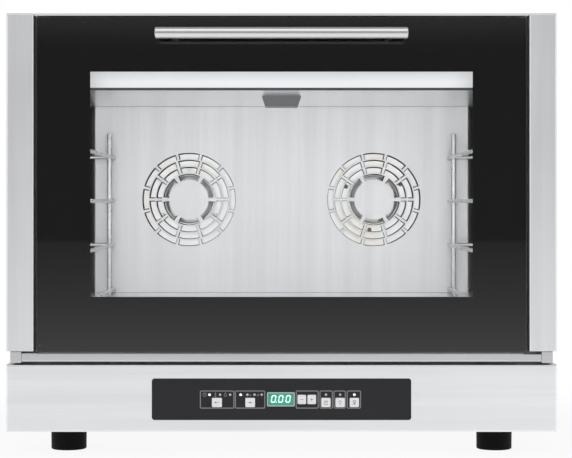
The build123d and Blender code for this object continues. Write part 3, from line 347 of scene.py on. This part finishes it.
def heat_tinted_steel(name, tone, roughness):
    """Steel that the heat has turned faintly straw-coloured in patches."""
    made = finish(name, Metallic=1.0)
    patches = made.noise(made.place(), scale=14.0, detail=3.0)
    marks = made.noise(made.place(), scale=420.0, detail=2.0)
    straw = (tone, tone * 0.94, tone * 0.84)
    colour = made.blend(made.smooth(patches, 0.45, 0.75), (tone,) * 3, straw)
    rough = roughness + 0.1 * (marks - 0.5)
    return finished(made, Base_Color=colour, Roughness=rough, Normal=made.bump(marks, 0.00001))


def painted_shade_steel(name):
    """Dark steel of the pressed slot lips, patchy between near black and dark grey: painted shade for the
    shadow lines at the slots' edges.
    """
    made = finish(name, Metallic=1.0, Roughness=0.5)
    patches = made.noise(made.place(), scale=38.0, detail=3.0)
    colour = made.blend(made.smooth(patches, 0.40, 0.62), (0.035, 0.033, 0.032), (0.26, 0.25, 0.24))
    return finished(made, Base_Color=colour)


def clear_glass(name, middle):
    """Flat pane: clear, with a mirror on its front that grows at a slant, and a green ground edge."""
    made = finish(name)
    slant = made.add("LayerWeight", {}, {"Blend": 0.5}, output="Facing")
    front = made.axis(along_y) < middle
    mirror = (0.045 + 0.955 * slant ** 5) * front
    flat = made.smooth(abs(made.facing(along_y)), 0.6, 0.9)
    through = made.add("BsdfTransparent", {}, {"Color": (0.984, 0.987, 0.988, 1)})
    gloss = made.add("BsdfGlossy", {}, {"Color": (1, 1, 1, 1), "Roughness": 0.02})
    face = made.add("MixShader", {}, {0: mirror, 1: through, 2: gloss})
    cloud = made.noise(made.place(), scale=300.0)
    edge_colour = made.blend(cloud, (0.006, 0.014, 0.012), (0.012, 0.026, 0.023))
    edge = made.add("BsdfPrincipled", {}, {"Base Color": edge_colour, "Roughness": 0.35})
    made.surface(made.add("MixShader", {}, {0: flat, 1: edge, 2: face}))
    return made.material


def black_print(name):
    """Black enamel print fired on the back of the glass."""
    made = finish(name, Roughness=0.45, Specular_IOR_Level=0.05)
    cloud = made.noise(made.place(), scale=40.0, detail=3.0)
    colour = made.blend(cloud, (0.0006, 0.0006, 0.0007), (0.0012, 0.0012, 0.0014))
    return finished(made, Base_Color=colour)


def moulded(name, colour, roughness, grain=900.0, depth=0.00003, gloss=0.5):
    """Moulded plastic or rubber with a fine grain."""
    made = finish(name, Specular_IOR_Level=gloss)
    fine = made.noise(made.place(), scale=grain, detail=3.0)
    cloud = made.noise(made.place(), scale=25.0, detail=2.0)
    darker = tuple(0.8 * part for part in colour)
    mixed = made.blend(made.smooth(cloud, 0.3, 0.7), darker, colour)
    rough = roughness + 0.12 * (cloud - 0.5)
    return finished(made, Base_Color=mixed, Roughness=rough, Normal=made.bump(fine, depth))


def panel_film(name):
    """Satin charcoal film over the controls."""
    made = finish(name, Specular_IOR_Level=0.25)
    fine = made.noise(made.place(), scale=2400.0, detail=2.0)
    cloud = made.noise(made.place(), scale=12.0, detail=2.0)
    colour = made.blend(cloud, (0.016, 0.0165, 0.019), (0.021, 0.0215, 0.024))
    rough = 0.42 + 0.08 * (cloud - 0.5)
    return finished(made, Base_Color=colour, Roughness=rough, Normal=made.bump(fine, 0.000006))


def key_plastic(name):
    """White satin key caps, faintly uneven."""
    made = finish(name, Roughness=0.38)
    fine = made.noise(made.place(), scale=1500.0, detail=2.0)
    cloud = made.noise(made.place(), scale=60.0, detail=2.0)
    colour = made.blend(cloud, (0.90, 0.90, 0.90), (0.95, 0.95, 0.95))
    return finished(made, Base_Color=colour, Normal=made.bump(fine, 0.000005))


def display_window(name, low, high):
    """Tinted display window, lit from behind and darker towards its edges."""
    made = finish(name, Roughness=0.12, Emission_Strength=0.55)
    middle = (low + high) / 2
    half = (high - low) / 2
    across = abs((made.axis(along_x) - middle[along_x]) / half[along_x])
    up = abs((made.axis(along_z) - middle[along_z]) / half[along_z])
    edge = made.smooth(across ** 4 + up ** 4, 0.1, 1.4)
    haze = made.noise(made.place(), scale=260.0, detail=2.0)
    glow = made.blend(0.8 * edge + 0.2 * haze, (0.055, 0.36, 0.26), (0.018, 0.13, 0.10))
    return finished(made, Base_Color=(0.02, 0.16, 0.12), Emission_Color=glow)


def light_guides(name, lit_places, radius):
    """Clear light rods, of which those at the lit places glow."""
    made = finish(name, Roughness=0.25, Emission_Strength=1.0)
    across = made.axis(along_x)
    marks = [abs(across - place) < 2 * radius for place in lit_places]
    lit = sum(marks[1:], marks[0])
    cloud = made.noise(made.place(), scale=900.0)
    plain = made.blend(cloud, (0.58, 0.59, 0.59), (0.72, 0.73, 0.73))
    glow = made.blend(lit, (0.0, 0.0, 0.0), (0.9, 0.95, 0.93))
    return finished(made, Base_Color=plain, Emission_Color=glow)


def printed(name, colour):
    """Ink on the panel and the keys, with a slightly uneven cover."""
    made = finish(name, Roughness=0.5)
    cover = made.noise(made.place(), scale=1200.0, detail=3.0)
    thin = tuple(0.85 * part for part in colour)
    return finished(made, Base_Color=made.blend(cover, thin, colour))


def glowing(name, colour):
    """Lit bars of the display and lit rims, a little uneven in their glow."""
    made = finish(name, Base_Color=tuple(0.6 * part for part in colour), Emission_Strength=1.0)
    uneven = made.noise(made.place(), scale=700.0, detail=1.0)
    dimmer = tuple(0.85 * part for part in colour)
    return finished(made, Emission_Color=made.blend(uneven, dimmer, colour))


def circuit_board(name):
    """Green board with copper tracks under its lacquer."""
    made = finish(name, Roughness=0.35)
    settings = {"wave_type": "BANDS", "bands_direction": "X"}
    sockets = {"Vector": made.place(), "Scale": 90.0, "Distortion": 14.0}
    tracks = made.add("TexWave", settings, sockets, output=1)
    colour = made.blend(made.smooth(tracks, 0.62, 0.70), (0.014, 0.09, 0.035), (0.05, 0.19, 0.07))
    return finished(made, Base_Color=colour)


def painted_metal(name, colour):
    """Paint with a light orange-peel surface."""
    made = finish(name, Coat_Weight=0.3)
    peel = made.noise(made.place(), scale=520.0, detail=2.0)
    cloud = made.noise(made.place(), scale=30.0, detail=3.0)
    mixed = made.blend(cloud, tuple(0.85 * part for part in colour), colour)
    rough = 0.38 + 0.12 * (cloud - 0.5)
    return finished(made, Base_Color=mixed, Roughness=rough, Normal=made.bump(peel, 0.00004))


def mineral_wool(name):
    """Pressed wool: matted fibres with pale and brown tufts."""
    made = finish(name, Roughness=0.95)
    fibres = made.noise(made.place((900.0, 60.0, 900.0)), detail=4.0, roughness=0.7)
    tufts = made.noise(made.place(), scale=60.0, detail=4.0)
    colour = made.blend(0.5 * fibres + 0.5 * tufts, (0.30, 0.25, 0.12), (0.62, 0.56, 0.36))
    return finished(made, Base_Color=colour, Normal=made.bump(fibres + tufts, 0.0006))


def lamp_ceramic(name):
    """Glazed porcelain of the lamp holder."""
    made = finish(name, Roughness=0.25)
    cloud = made.noise(made.place(), scale=80.0, detail=3.0)
    return finished(made, Base_Color=made.blend(cloud, (0.72, 0.69, 0.62), (0.82, 0.80, 0.75)))


def soft_seal(name):
    """Dark silicone seal."""
    return moulded(name, (0.035, 0.035, 0.036), 0.55, grain=1300.0, depth=0.00002)


def coat(material, *names):
    """Gives a material to the named pieces of the frame."""
    for name in names:
        for slot in nodes[name].material_slots:
            slot.material = material


def piece(name, body, slot, material, *grids):
    """Object made of grids of points. Lines that meet are joined, and every face is turned outwards."""
    faces = []
    count = 0
    for grid in grids:
        rows, columns = grid.shape[:2]
        number = count + np.arange(rows * columns).reshape(rows, columns)
        corners = (number[:-1, :-1], number[1:, :-1], number[1:, 1:], number[:-1, 1:])
        faces.append(np.stack(corners, axis=-1).reshape(-1, 4))
        count += rows * columns
    mesh = bpy.data.meshes.new(name)
    mesh.from_pydata(np.concatenate([grid.reshape(-1, 3) for grid in grids]), [], np.concatenate(faces))
    shape = bmesh.new()
    shape.from_mesh(mesh)
    bmesh.ops.remove_doubles(shape, verts=shape.verts, dist=0.000001)
    bmesh.ops.recalc_face_normals(shape, faces=shape.faces)
    shape.to_mesh(mesh)
    shape.free()
    made = bpy.data.objects.new(name, mesh)
    bpy.context.scene.collection.objects.link(made)
    mesh.materials.append(material)
    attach(made, body)
    return made


def unit(steps):
    """Steps in the same directions, each of length one."""
    return steps / np.linalg.norm(steps, axis=-1, keepdims=True)


def rounded(low, high, radius, steps=6):
    """Path round a rectangle in X and Z.

    It is a quarter turn about each corner's centre, closed by its first point.
    """
    turn = np.linspace(0, math.pi / 2, steps)
    centres = [(high[0], high[1]), (low[0], high[1]), (low[0], low[1]), (high[0], low[1])]
    inset = [(-radius, -radius), (radius, -radius), (radius, radius), (-radius, radius)]
    corners = []
    for quarter in range(4):
        angle = turn + quarter * math.pi / 2
        middle = np.add(centres[quarter], inset[quarter])
        corners.append(middle + radius * np.stack((np.cos(angle), np.sin(angle)), axis=-1))
    path = np.concatenate(corners)
    return np.concatenate((path, path[:1]))


def ring(middle, radius, start=0.0, end=360.0, steps=24):
    """Path on a circle about a point in X and Z, from one angle to another."""
    angle = np.radians(np.linspace(start, end, steps + 1))
    return np.asarray(middle) + radius * np.stack((np.cos(angle), np.sin(angle)), axis=-1)


def sides(path):
    """Step to the left of each point of a path, as long as the mitre at that point asks for."""
    closed = np.allclose(path[0], path[-1])
    before = np.concatenate((path[-2:-1] if closed else 2 * path[:1] - path[1:2], path[:-1]))
    after = np.concatenate((path[1:], path[1:2] if closed else 2 * path[-1:] - path[-2:-1]))
    turn = np.array(((0, 1), (-1, 0)))
    arriving = unit(path - before) @ turn
    leaving = unit(after - path) @ turn
    middle = unit(arriving + leaving)
    return middle / np.sum(middle * arriving, axis=-1, keepdims=True)


def line(*points):
    """Path through points in X and Z."""
    return np.array(points, dtype=float)


def upright(flat, depth):
    """Points in X and Z, set at their depths along Y."""
    depth = np.broadcast_to(depth, flat.shape[:-1])
    return np.stack((flat[..., 0], depth, flat[..., 1]), axis=-1)


def closed_ends(grid):
    """A profile carried along an open path, with both ends drawn together at their middles."""
    ends = grid[[0, -1]].mean(axis=1, keepdims=True).repeat(grid.shape[1], axis=1)
    return np.concatenate((ends[:1], grid, ends[1:]))


def stroke(path, width, face):
    """Raised line: the path moved half a width to each side, its face standing off by the print rise."""
    path = np.asarray(path, dtype=float)
    reach = sides(path)[:, None] * np.array((-0.5, -0.5, 0.5, 0.5, -0.5))[None, :, None] * width
    depth = face - print_rise * np.array((0, 1, 1, 0, 0))
    grid = upright(path[:, None] + reach, depth)
    return grid if np.allclose(path[0], path[-1]) else closed_ends(grid)


def plate(outline, face):
    """Raised flat shape: its outline at the face and at the print rise, both closed at its middle."""
    outline = np.asarray(outline, dtype=float)
    outline = outline if np.allclose(outline[0], outline[-1]) else np.concatenate((outline, outline[:1]))
    middle = outline[:-1].mean(axis=0, keepdims=True).repeat(len(outline), axis=0)
    back = [upright(row, face) for row in (middle, outline)]
    front = [upright(row, face - print_rise) for row in (outline, middle)]
    return np.stack(back + front)


def turned(profile, middle, steps=32):
    """Profile of (radius, y) points turned about a line along Y through a point in X and Z."""
    radius, depth = np.asarray(profile, dtype=float).T
    angle = np.linspace(0, 2 * math.pi, steps + 1)
    across = middle[0] + radius[:, None] * np.cos(angle)
    up = middle[1] + radius[:, None] * np.sin(angle)
    return np.stack((across, np.broadcast_to(depth[:, None], across.shape), up), axis=-1)


def both(stem):
    """Names of the left node and the right one."""
    return stem + "_left", stem + "_right"


coat(brushed_steel("casing_steel", along_y), "outer_casing")
coat(brushed_steel("front_steel", along_x, tone=0.83), "fascia", "top_rail")
coat(brushed_steel("hinge_steel", along_x, tone=0.58), "door_beam", *both("hinge_block"))
coat(brushed_steel("post_steel", along_z), *both("post"))
coat(brushed_steel("mouth_steel", along_x, tone=0.80), "front_frame")
coat(cavity_steel("cavity_steel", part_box("deflector_panel")[1].y), "cavity_shell", "cavity_rear_wall")
# The vent baffle's very dark tone is painted shade on a steel baffle seen from below
coat(brushed_steel("baffle_painted_shade", along_x, tone=0.14, roughness=0.38), "vent_baffle")
coat(brushed_steel("deflector_steel", along_z, 0.82, 0.60, (0.99, 0.99, 1.0)), "deflector_panel")
zinc_coated = ("base_tray", "rear_cover", "rear_bulkhead", "door_frame", "glass_clips")
coat(galvanised_sheet("galvanised"), *zinc_coated)
coat(polished_steel("handle_steel", 0.66, 0.22), "handle_bar", "handle_posts")
coat(polished_steel("rack_wire", 0.50, 0.28, (300.0, 300.0, 300.0)), *both("rack"))
coat(heat_tinted_steel("fan_steel", 0.86, 0.36), *both("impeller"), *both("fan_shaft"))
coat(heat_tinted_steel("pipe_steel", 0.74, 0.34), "vent_pipe", "temperature_probe")
coat(heat_tinted_steel("heater_sheath", 0.32, 0.48), *both("heating_element"))
fixings = ("casing_screws", "fixing_bolts", "handle_screws", "hinge_pins")
coat(polished_steel("fixings", 0.66, 0.30), *fixings)
coat(polished_steel("stay_steel", 0.66, 0.34), *both("stay_arm"))
for pane in ("door_outer_glass", "door_inner_glass"):
    pane_low, pane_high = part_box(pane)
    coat(clear_glass(pane, (pane_low.y + pane_high.y) / 2), pane)
coat(moulded("lamp_lens", (0.75, 0.77, 0.76), 0.18, grain=60.0, depth=0.0003), "lamp_glass")
coat(black_print("black_border"), "glass_border")
coat(moulded("black_rubber", (0.006, 0.006, 0.0065), 0.60, gloss=0.08), "feet")
coat(soft_seal("seal_rubber"), "door_gasket")
coat(panel_film("panel_film"), "control_panel")
key_names = sorted(name for name in nodes if name.startswith("key_"))
coat(key_plastic("white_key"), *key_names)
coat(circuit_board("board"), "control_board", "power_board")
coat(painted_metal("motor_paint", (0.20, 0.21, 0.23)), *both("motor"))
coat(mineral_wool("mineral_wool"), "insulation")
coat(moulded("black_plastic", (0.02, 0.02, 0.02), 0.45), "cable_gland")
coat(lamp_ceramic("lamp_body"), "oven_lamp")
display_low, display_high = (np.array(corner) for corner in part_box("display_lens"))
coat(display_window("display", display_low, display_high), "display_lens")
coat(light_guides("light_guide", lit_lights, light_radius), "indicator_lights")


def middle_of(name):
    """Middle of a node in X and Z."""
    low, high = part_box(name)
    return np.array(((low.x + high.x) / 2, (low.z + high.z) / 2))


def front_of(name):
    """Y of a node's foremost point."""
    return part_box(name)[0].y


def points_of(name):
    """Points of a node's mesh, one in each row."""
    mesh = nodes[name].data
    points = np.empty(3 * len(mesh.vertices))
    mesh.vertices.foreach_get("co", points)
    return points.reshape(-1, 3)


def mouth_seal():
    """Silicone bead in the corner between the front frame and the cavity.

    Three quarters of an ellipse, closed by a straight line, are carried round the mouth.
    """
    low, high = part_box("cavity_shell")
    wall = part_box("front_frame")[1].y - front_of("front_frame")
    inner_low = np.array((low.x, low.z)) + wall
    inner_high = np.array((high.x, high.z)) - wall
    path = rounded(inner_low, inner_high, cavity_corner, 8)
    bend = np.radians(np.linspace(-90, 180, 10))
    inward = seal_bead_width * np.append(np.cos(bend), 0)
    forward = seal_bead_rise * np.append(np.sin(bend), -1)
    section = path[:, None] + sides(path)[:, None] * inward[None, :, None]
    return upright(section, front_of("front_frame") - forward)


def box_outlines():
    """Outline of each group of keys on the panel: a line carried round a rounded rectangle."""
    face = front_of("control_panel")
    paths = [rounded((left, box_foot), (right, box_head), box_corner) for left, right in box_sides]
    return [stroke(path, outline_width, face) for path in paths]


def display_frame():
    """Pale rim of the display: a line carried round a rounded rectangle."""
    low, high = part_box("display_lens")
    inset = frame_width / 2
    path = rounded((low.x + inset, low.z + inset), (high.x - inset, high.z - inset), box_corner)
    return stroke(path, frame_width, front_of("display_lens"))


def digits():
    """Three noughts of six lit bars each, and a point after the first.

    A bar is the corners of a square, stretched to its half sizes. All shapes lean by the slant.
    """
    face = front_of("display_lens")
    middle = middle_of("display_lens")[0]
    half_width = (digit_width - digit_stroke) / 2
    half_height = (digit_height - digit_stroke) / 2
    half_stroke = digit_stroke / 2
    square = line((-1, -1), (-1, 1), (1, 1), (1, -1))
    lying = square * (half_width - lying_bar_cut, half_stroke)
    standing = square * (half_stroke, standing_bar_share * half_height / 2)
    bars = [lying + (0, side * half_height) for side in (-1, 1)]
    for across in (-half_width, half_width):
        bars += [standing + (across, up * half_height / 2) for up in (-1, 1)]
    shapes = [bar + (digit * digit_pitch, 0) for digit in (-1, 0, 1) for bar in bars]
    shapes.append(ring((-digit_pitch / 2 - point_gap, -half_height), point_radius, steps=12))
    lean = np.array(((1, 0), (digit_slant, 1)))
    return [plate(shape @ lean + (middle, digit_middle_z), face) for shape in shapes]


def light_places():
    """Middle of each light rod, found as the groups of points on the face of their node."""
    points = points_of("indicator_lights")
    across = np.sort(points[points[:, 1] < points[:, 1].min() + 0.0001, 0])
    groups = np.split(across, np.flatnonzero(np.diff(across) > light_radius) + 1)
    return [(group.min() + group.max()) / 2 for group in groups]


def is_lit(x):
    """Whether the light rod at this place across the panel glows."""
    return min(abs(x - place) for place in lit_lights) < light_radius


def light_rims(lit):
    """Thin ring on the panel round each light rod that is lit, or round each that isn't."""
    face = front_of("control_panel")
    height = middle_of("indicator_lights")[1]
    radius = light_radius + rim_width / 2
    rings = [ring((x, height), radius, steps=20) for x in light_places() if is_lit(x) == lit]
    return [stroke(path, rim_width, face) for path in rings]


def panel_icons():
    """Signs beside the lights: a clock, a thermometer, a drop, and bars for the fans' three speeds."""
    face = front_of("control_panel")
    height = middle_of("indicator_lights")[1]
    lights = light_places()
    clock = np.array((lights[0] - clock_left_of_light, height))
    thermometer = np.array((lights[1] - thermometer_left_of_light, height))
    drop = np.array((lights[2] - drop_left_of_light, height))
    paths = [
        ring(clock, clock_radius),
        clock + line((0, 0.0016), (0, 0), (0.0012, 0)),
        ring(thermometer - (0, 0.0020), bulb_radius, -230, 50, 12),
        thermometer + line((-0.0005, -0.0011), (-0.0005, 0.0026), (0.0005, 0.0026), (0.0005, -0.0011)),
        ring(drop - (0, 0.0009), drop_radius, -215, 35, 12),
        drop + line((-0.0014, 0.0001), (0, 0.0028), (0.0014, 0.0001)),
    ]
    for speed in (1, 2, 3):
        left = lights[3 + speed] - speed_left_of_light
        for bar in range(speed):
            foot = np.array((left + speed_bar_pitch * (bar - 1), height - speed_below_light))
            paths.append(foot + line((0, 0), (0, speed_bar_height + speed_bar_growth * bar)))
    return [stroke(path, icon_width, face) for path in paths]


def wave(middle, reach, swing):
    """Upright wavy line: a sine of the height."""
    height = np.linspace(-1, 1, 9)
    return np.asarray(middle) + np.stack((swing * np.sin(height * math.pi), reach * height), axis=-1)


def arrow_sign():
    """Arrow that points left: a shaft, and a bent line for its head."""
    return [line((-0.0030, 0), (0.0030, 0)), line((-0.0013, 0.0015), (-0.0030, 0), (-0.0013, -0.0015))]


def fan_sign():
    """Round hub with a straight blade on each side."""
    return [ring((0, 0), 0.0009), line((-0.0034, 0), (-0.0009, 0)), line((0.0009, 0), (0.0034, 0))]


def minus_sign():
    """One level line."""
    return [line((-sign_reach, 0), (sign_reach, 0))]


def plus_sign():
    """The minus and an upright line across it."""
    return [*minus_sign(), line((0, -sign_reach), (0, sign_reach))]


def steam_sign():
    """Three wavy lines over a bowl."""
    waves = [wave((place, 0.0013), 0.0016, 0.0004) for place in (-0.0016, 0, 0.0016)]
    return [*waves, line((-0.0025, -0.0012), (-0.0019, -0.0027), (0.0019, -0.0027), (0.0025, -0.0012))]


def light_sign():
    """Open round of a bulb over the two lines of its cap."""
    cap = line((-0.0009, -0.0017), (0.0009, -0.0017))
    return [ring((0, 0.0009), 0.0017, -60, 240), cap, line((-0.0007, -0.0026), (0.0007, -0.0026))]


def start_sign():
    """Rounded bar over a line and a triangle that points down."""
    bar = rounded((-0.0019, 0.0006), (0.0019, 0.0028), 0.0003)
    triangle = line((-0.0012, -0.0018), (0, -0.0029), (0.0012, -0.0018), (-0.0012, -0.0018))
    return [bar, line((-0.0019, -0.0008), (0.0019, -0.0008)), triangle]


# The sign on each key, as paths about the key's middle
key_signs = {
    "key_program": arrow_sign(),
    "key_fan": fan_sign(),
    "key_minus": minus_sign(),
    "key_plus": plus_sign(),
    "key_steam": steam_sign(),
    "key_light": light_sign(),
    "key_start": start_sign(),
}


def slot_lips(fan, broad_turn):
    """Lips pressed back from the edges of a grille's slots: a sloped strip along the outer arc and both ends.

    A lip's reach is the full one times (mean share + swing share x cosine of the turn from the broad side).
    In their dark steel the lips are painted shade for the shadow lines at the slots' outer edges, widest on
    the broad side, where those lines are thickest.
    """
    middle = middle_of(fan)
    back = front_of("deflector_panel") + deflector_thickness
    inward = np.array((-0.1, 0.0, 1.0, 0.8, -0.1))
    behind = np.array((0.0, 0.0, lip_depth, lip_depth + lip_thickness, 0.0))
    steps = 12
    full_reach = np.array([end_lip_reach] * 2 + [lip_reach] * (steps - 1) + [end_lip_reach] * 2)
    lips = []
    for row, count in enumerate(grille_ring_slots):
        outer = grille_radius - row * grille_pitch
        inner = outer - grille_slot
        bridge = grille_inner_bridge if row == len(grille_ring_slots) - 1 else grille_bridge
        spread = math.tau / count - bridge / (outer - grille_slot / 2)
        first = math.pi / count if row == 0 else 0
        for number in range(count):
            centre = first + (number + 0.5) * math.tau / count
            angle = np.linspace(centre - spread / 2, centre + spread / 2, steps + 1)
            arc = outer * np.stack((np.cos(angle), np.sin(angle)), axis=-1)
            path = middle + np.concatenate((arc[:1] * inner / outer, arc, arc[-1:] * inner / outer))
            turn = np.concatenate((angle[:1], angle, angle[-1:])) - math.radians(broad_turn)
            reach = full_reach * (lip_mean_share + lip_swing_share * np.cos(turn))
            offset = sides(path)[:, None] * (inward * reach[:, None])[..., None]
            lips.append(closed_ends(upright(path[:, None] + offset, back + behind)))
    return lips


def fan_shroud(fan):
    """Front plate of a fan, one turned profile: a flat ring whose inner edge rolls back round the inlet."""
    front = front_of(fan)
    face = front - shroud_thickness
    bend = np.radians(np.linspace(0, 90, 6))
    roll = inlet_radius + inlet_roll
    inner_roll = inlet_roll - shroud_thickness
    outer_lip = zip(roll - inlet_roll * np.sin(bend), face + inlet_roll * (1 - np.cos(bend)))
    unbend = bend[::-1]
    inner_lip = zip(roll - inner_roll * np.sin(unbend), face + inlet_roll - inner_roll * np.cos(unbend))
    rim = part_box(fan)[1].x - middle_of(fan)[0] - shroud_rim_gap
    profile = [(rim, front), (rim, face), *outer_lip, *inner_lip, (rim, front)]
    return turned(profile, middle_of(fan), 96)


def rivets(fan, turns):
    """Domed rivets that hold a fan's front plate to its blades, turned from a quarter round."""
    disc = front_of(fan) - shroud_thickness
    lift = np.radians(np.linspace(0, 90, 6))
    dome = zip(rivet_radius * np.cos(lift), disc - rivet_height * np.sin(lift))
    profile = [(rivet_radius, disc), *dome, (0, disc)]
    return [turned(profile, ring(middle_of(fan), rivet_circle, turn, turn, 1)[0]) for turn in turns]


def screw_places():
    """Middle of each rear screw's flat end, found as the groups of its points on a coarse net."""
    points = points_of("casing_screws")
    flat = points[points[:, 1] > points[:, 1].max() - 0.0001][:, (0, 2)]
    cells = np.unique(np.round(flat / screw_spacing).astype(int), axis=0)
    places = []
    for cell in cells * screw_spacing:
        near = flat[np.linalg.norm(flat - cell, axis=1) < screw_spacing]
        middle = (near.min(axis=0) + near.max(axis=0)) / 2
        if not any(np.allclose(middle, other, atol=0.0005) for other in places):
            places.append(middle)
    return places


def screw_heads():
    """Pan heads of the rear screws: a dome over radius and angle, sunk where the cross is pressed in.

    The dome falls with the root of (1 - 0.45 x share of the radius, squared). The cross's walls slope.
    """
    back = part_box("casing_screws")[1].y
    seat = min(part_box("rear_cover")[1].y, back - screw_least_height)
    share = np.concatenate((np.linspace(0, 0.98, 13), [1.0, 1.0, 0.0]))
    angle = np.linspace(0, 2 * math.pi, 65)
    across = screw_head_radius * share[:, None] * np.cos(angle)
    up = screw_head_radius * share[:, None] * np.sin(angle)
    arm = np.minimum(abs(across), abs(up)) / cross_half_width
    reach = np.maximum(abs(across), abs(up)) / cross_reach
    sunk = cross_depth * np.clip(1.6 - arm, 0, 1) * np.clip((1 - reach) * 5, 0, 1)
    dome = (back - seat) * np.sqrt(1 - 0.45 * share ** 2)
    dome[-2:] = 0
    depth = seat + dome[:, None] - sunk * (dome[:, None] > 0)
    return [np.stack((x + across, depth, z + up), axis=-1) for x, z in screw_places()]


panel_print = printed("panel_print", (0.27, 0.27, 0.275))
piece("mouth_seal", "oven", "seal_rubber", soft_seal("bead_silicone"), mouth_seal())
piece("box_outlines", "oven", "panel_film", panel_print, *box_outlines())
piece("panel_icons", "oven", "panel_film", panel_print, *panel_icons())
piece("display_frame", "oven", "display", printed("display_rim", (0.46, 0.62, 0.57)), display_frame())
piece("display_digits", "oven", "display", glowing("lit_digit", (0.62, 1.0, 0.80)), *digits())
piece("light_rims", "oven", "light_guide", printed("light_rim", (0.42, 0.42, 0.42)), *light_rims(False))
lit_rim = glowing("lit_rim", (0.9, 0.95, 0.93))
piece("lit_light_rims", "oven", "light_guide", lit_rim, *light_rims(True))
key_ink = printed("key_ink", (0.16, 0.16, 0.165))
for key, paths in key_signs.items():
    strokes = [stroke(path + middle_of(key), sign_width, front_of(key)) for path in paths]
    piece(key + "_sign", key, "white_key", key_ink, *strokes)
shroud_steel = heat_tinted_steel("shroud_steel", 0.88, 0.50)
for side in ("left", "right"):
    piece(side + "_fan_shroud", "fan_" + side, "fan_steel", shroud_steel, fan_shroud("impeller_" + side))
# Slot lips in dark steel: painted shade for the shadow lines at the slot edges
lip_painted_shade = painted_shade_steel("lip_painted_shade")
for side, turn in lip_broad_turns.items():
    piece(side + "_grille_lips", "oven", "cavity_steel", lip_painted_shade, *slot_lips("impeller_" + side, turn))
rivet_steels = {"left": shroud_steel, "right": heat_tinted_steel("rivet_steel", 0.14, 0.45)}
for side, turns in rivet_turns.items():
    domes = rivets("impeller_" + side, turns)
    piece(side + "_fan_rivets", "fan_" + side, "fan_steel", rivet_steels[side], *domes)
screw_steel = polished_steel("screw_steel", 0.62, 0.30)
screws = piece("rear_screw_heads", "oven", "fixings", screw_steel, *screw_heads())
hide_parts("casing_screws")


def studio():
    """Plain pale floor. In gloss it grows dimmer with its distance, as a lit table does in a dark studio."""
    mesh = bpy.data.meshes.new("floor")
    corners = [(-floor_reach, -floor_reach, 0), (floor_reach, -floor_reach, 0)]
    corners += [(floor_reach, floor_reach, 0), (-floor_reach, floor_reach, 0)]
    mesh.from_pydata(corners, [], [(0, 1, 2, 3)])
    floor = bpy.data.objects.new("floor", mesh)
    bpy.context.scene.collection.objects.link(floor)
    made = finish("floor")
    rays = ("Is Camera Ray", "Is Glossy Ray", "Is Transmission Ray")
    seen, gloss, glass = (made.add("LightPath", output=ray) for ray in rays)
    forward = abs(made.axis(along_y)) + 0.01
    dim = made.add("Math", {"operation": "MINIMUM"}, {0: 0.24 + 1.7 / forward, 1: 1.15})
    strength = seen + glass + gloss * dim
    lit = made.add("BsdfDiffuse", {}, {"Color": (0.86, 0.86, 0.86, 1)})
    pale = made.add("Emission", {}, {"Color": (1, 1, 1, 1), "Strength": strength})
    distance = made.add("VectorMath", {"operation": "LENGTH"}, {0: made.place()}, output=1)
    share = (seen + gloss + glass) * (0.90 + 0.10 * made.smooth(distance, 0.42, 0.8))
    made.surface(made.add("MixShader", {}, {0: share, 1: lit, 2: pale}))
    mesh.materials.append(made.material)


def surroundings():
    """Even pale light, softer overhead. Gloss and light rays meet a dark studio low behind the camera."""
    world = bpy.data.worlds.new("surroundings")
    bpy.context.scene.world = world
    world.use_nodes = True
    made = Nodes(world.node_tree)
    direction = {"Vector": made.add("TexCoord", output="Generated")}
    aside, along, up = (made.add("SeparateXYZ", {}, direction, output=axis) for axis in range(3))
    narrow = 1 - made.smooth(abs(aside), 0.17, 0.34)
    low = 1 - made.smooth(up, 0.085, 0.128)
    dark = narrow * low * (along < 0)
    overhead = made.smooth(up, 0.02, 0.6)
    level = (0.90 - 0.50 * overhead) * (1 - 0.77 * dark)
    seen = made.add("LightPath", output="Is Camera Ray")
    light = made.add("Background", {}, {"Color": (1, 1, 1, 1), "Strength": seen + (1 - seen) * level})
    made.add("OutputWorld", {}, {"Surface": light})


def lamp(name, place, target, size, power):
    """Rectangular soft lamp that points at a target."""
    data = bpy.data.lights.new(name, "AREA")
    data.shape = "RECTANGLE"
    data.size, data.size_y = size
    data.energy = power
    made = bpy.data.objects.new(name, data)
    bpy.context.scene.collection.objects.link(made)
    place, target = np.array(place), np.array(target)
    aim = Vector(tuple(target - place)).to_track_quat("-Z", "Y")
    made.location = place
    made.rotation_euler = aim.to_euler()


def power_of(size, level):
    """Power of a lamp that is as bright as the level, whatever its size."""
    return level * math.pi * size[0] * size[1]


def cavity_lamps():
    """Soft lamp over the whole mouth, just inside the closed door, and a strip for each fan at its sides."""
    low, high = (np.array(corner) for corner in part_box("door_gasket"))
    depth = (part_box("door_inner_glass")[1].y + front_of("front_frame")) / 2
    size = (high - low)[[0, 2]] - 2 * mouth_lamp_gap
    place = np.array((0, depth, (low[2] + high[2]) / 2))
    lamp("cavity_lamp", place, place + (0, 1, 0), size, power_of(size, mouth_lamp_level))
    for side, fan in ((-1, "impeller_left"), (1, "impeller_right")):
        target = (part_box(fan)[0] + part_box(fan)[1]) / 2
        place = (side * strip_aside, depth + strip_behind_mouth, strip_height)
        lamp(fan + "_lamp", place, target, strip_size, power_of(strip_size, strip_level))


def camera():
    """Camera at the height and distance of the photograph's."""
    data = bpy.data.cameras.new("camera")
    data.lens = camera_lens
    data.sensor_width = 36.0
    data.shift_x = middle_right_of_oven / picture_width
    data.shift_y = -middle_below_camera / picture_width
    data.clip_end = 100.0
    made = bpy.data.objects.new("camera", data)
    bpy.context.scene.collection.objects.link(made)
    made.location = (0, front_of("door_outer_glass") - camera_distance, camera_height)
    made.rotation_euler = (math.radians(90), 0, 0)
    bpy.context.scene.camera = made


studio()
surroundings()
for name, (place, target, size, power) in studio_lamps.items():
    lamp(name, place, target, size, power)
cavity_lamps()
camera()
bpy.context.scene.view_settings.view_transform = "Standard"
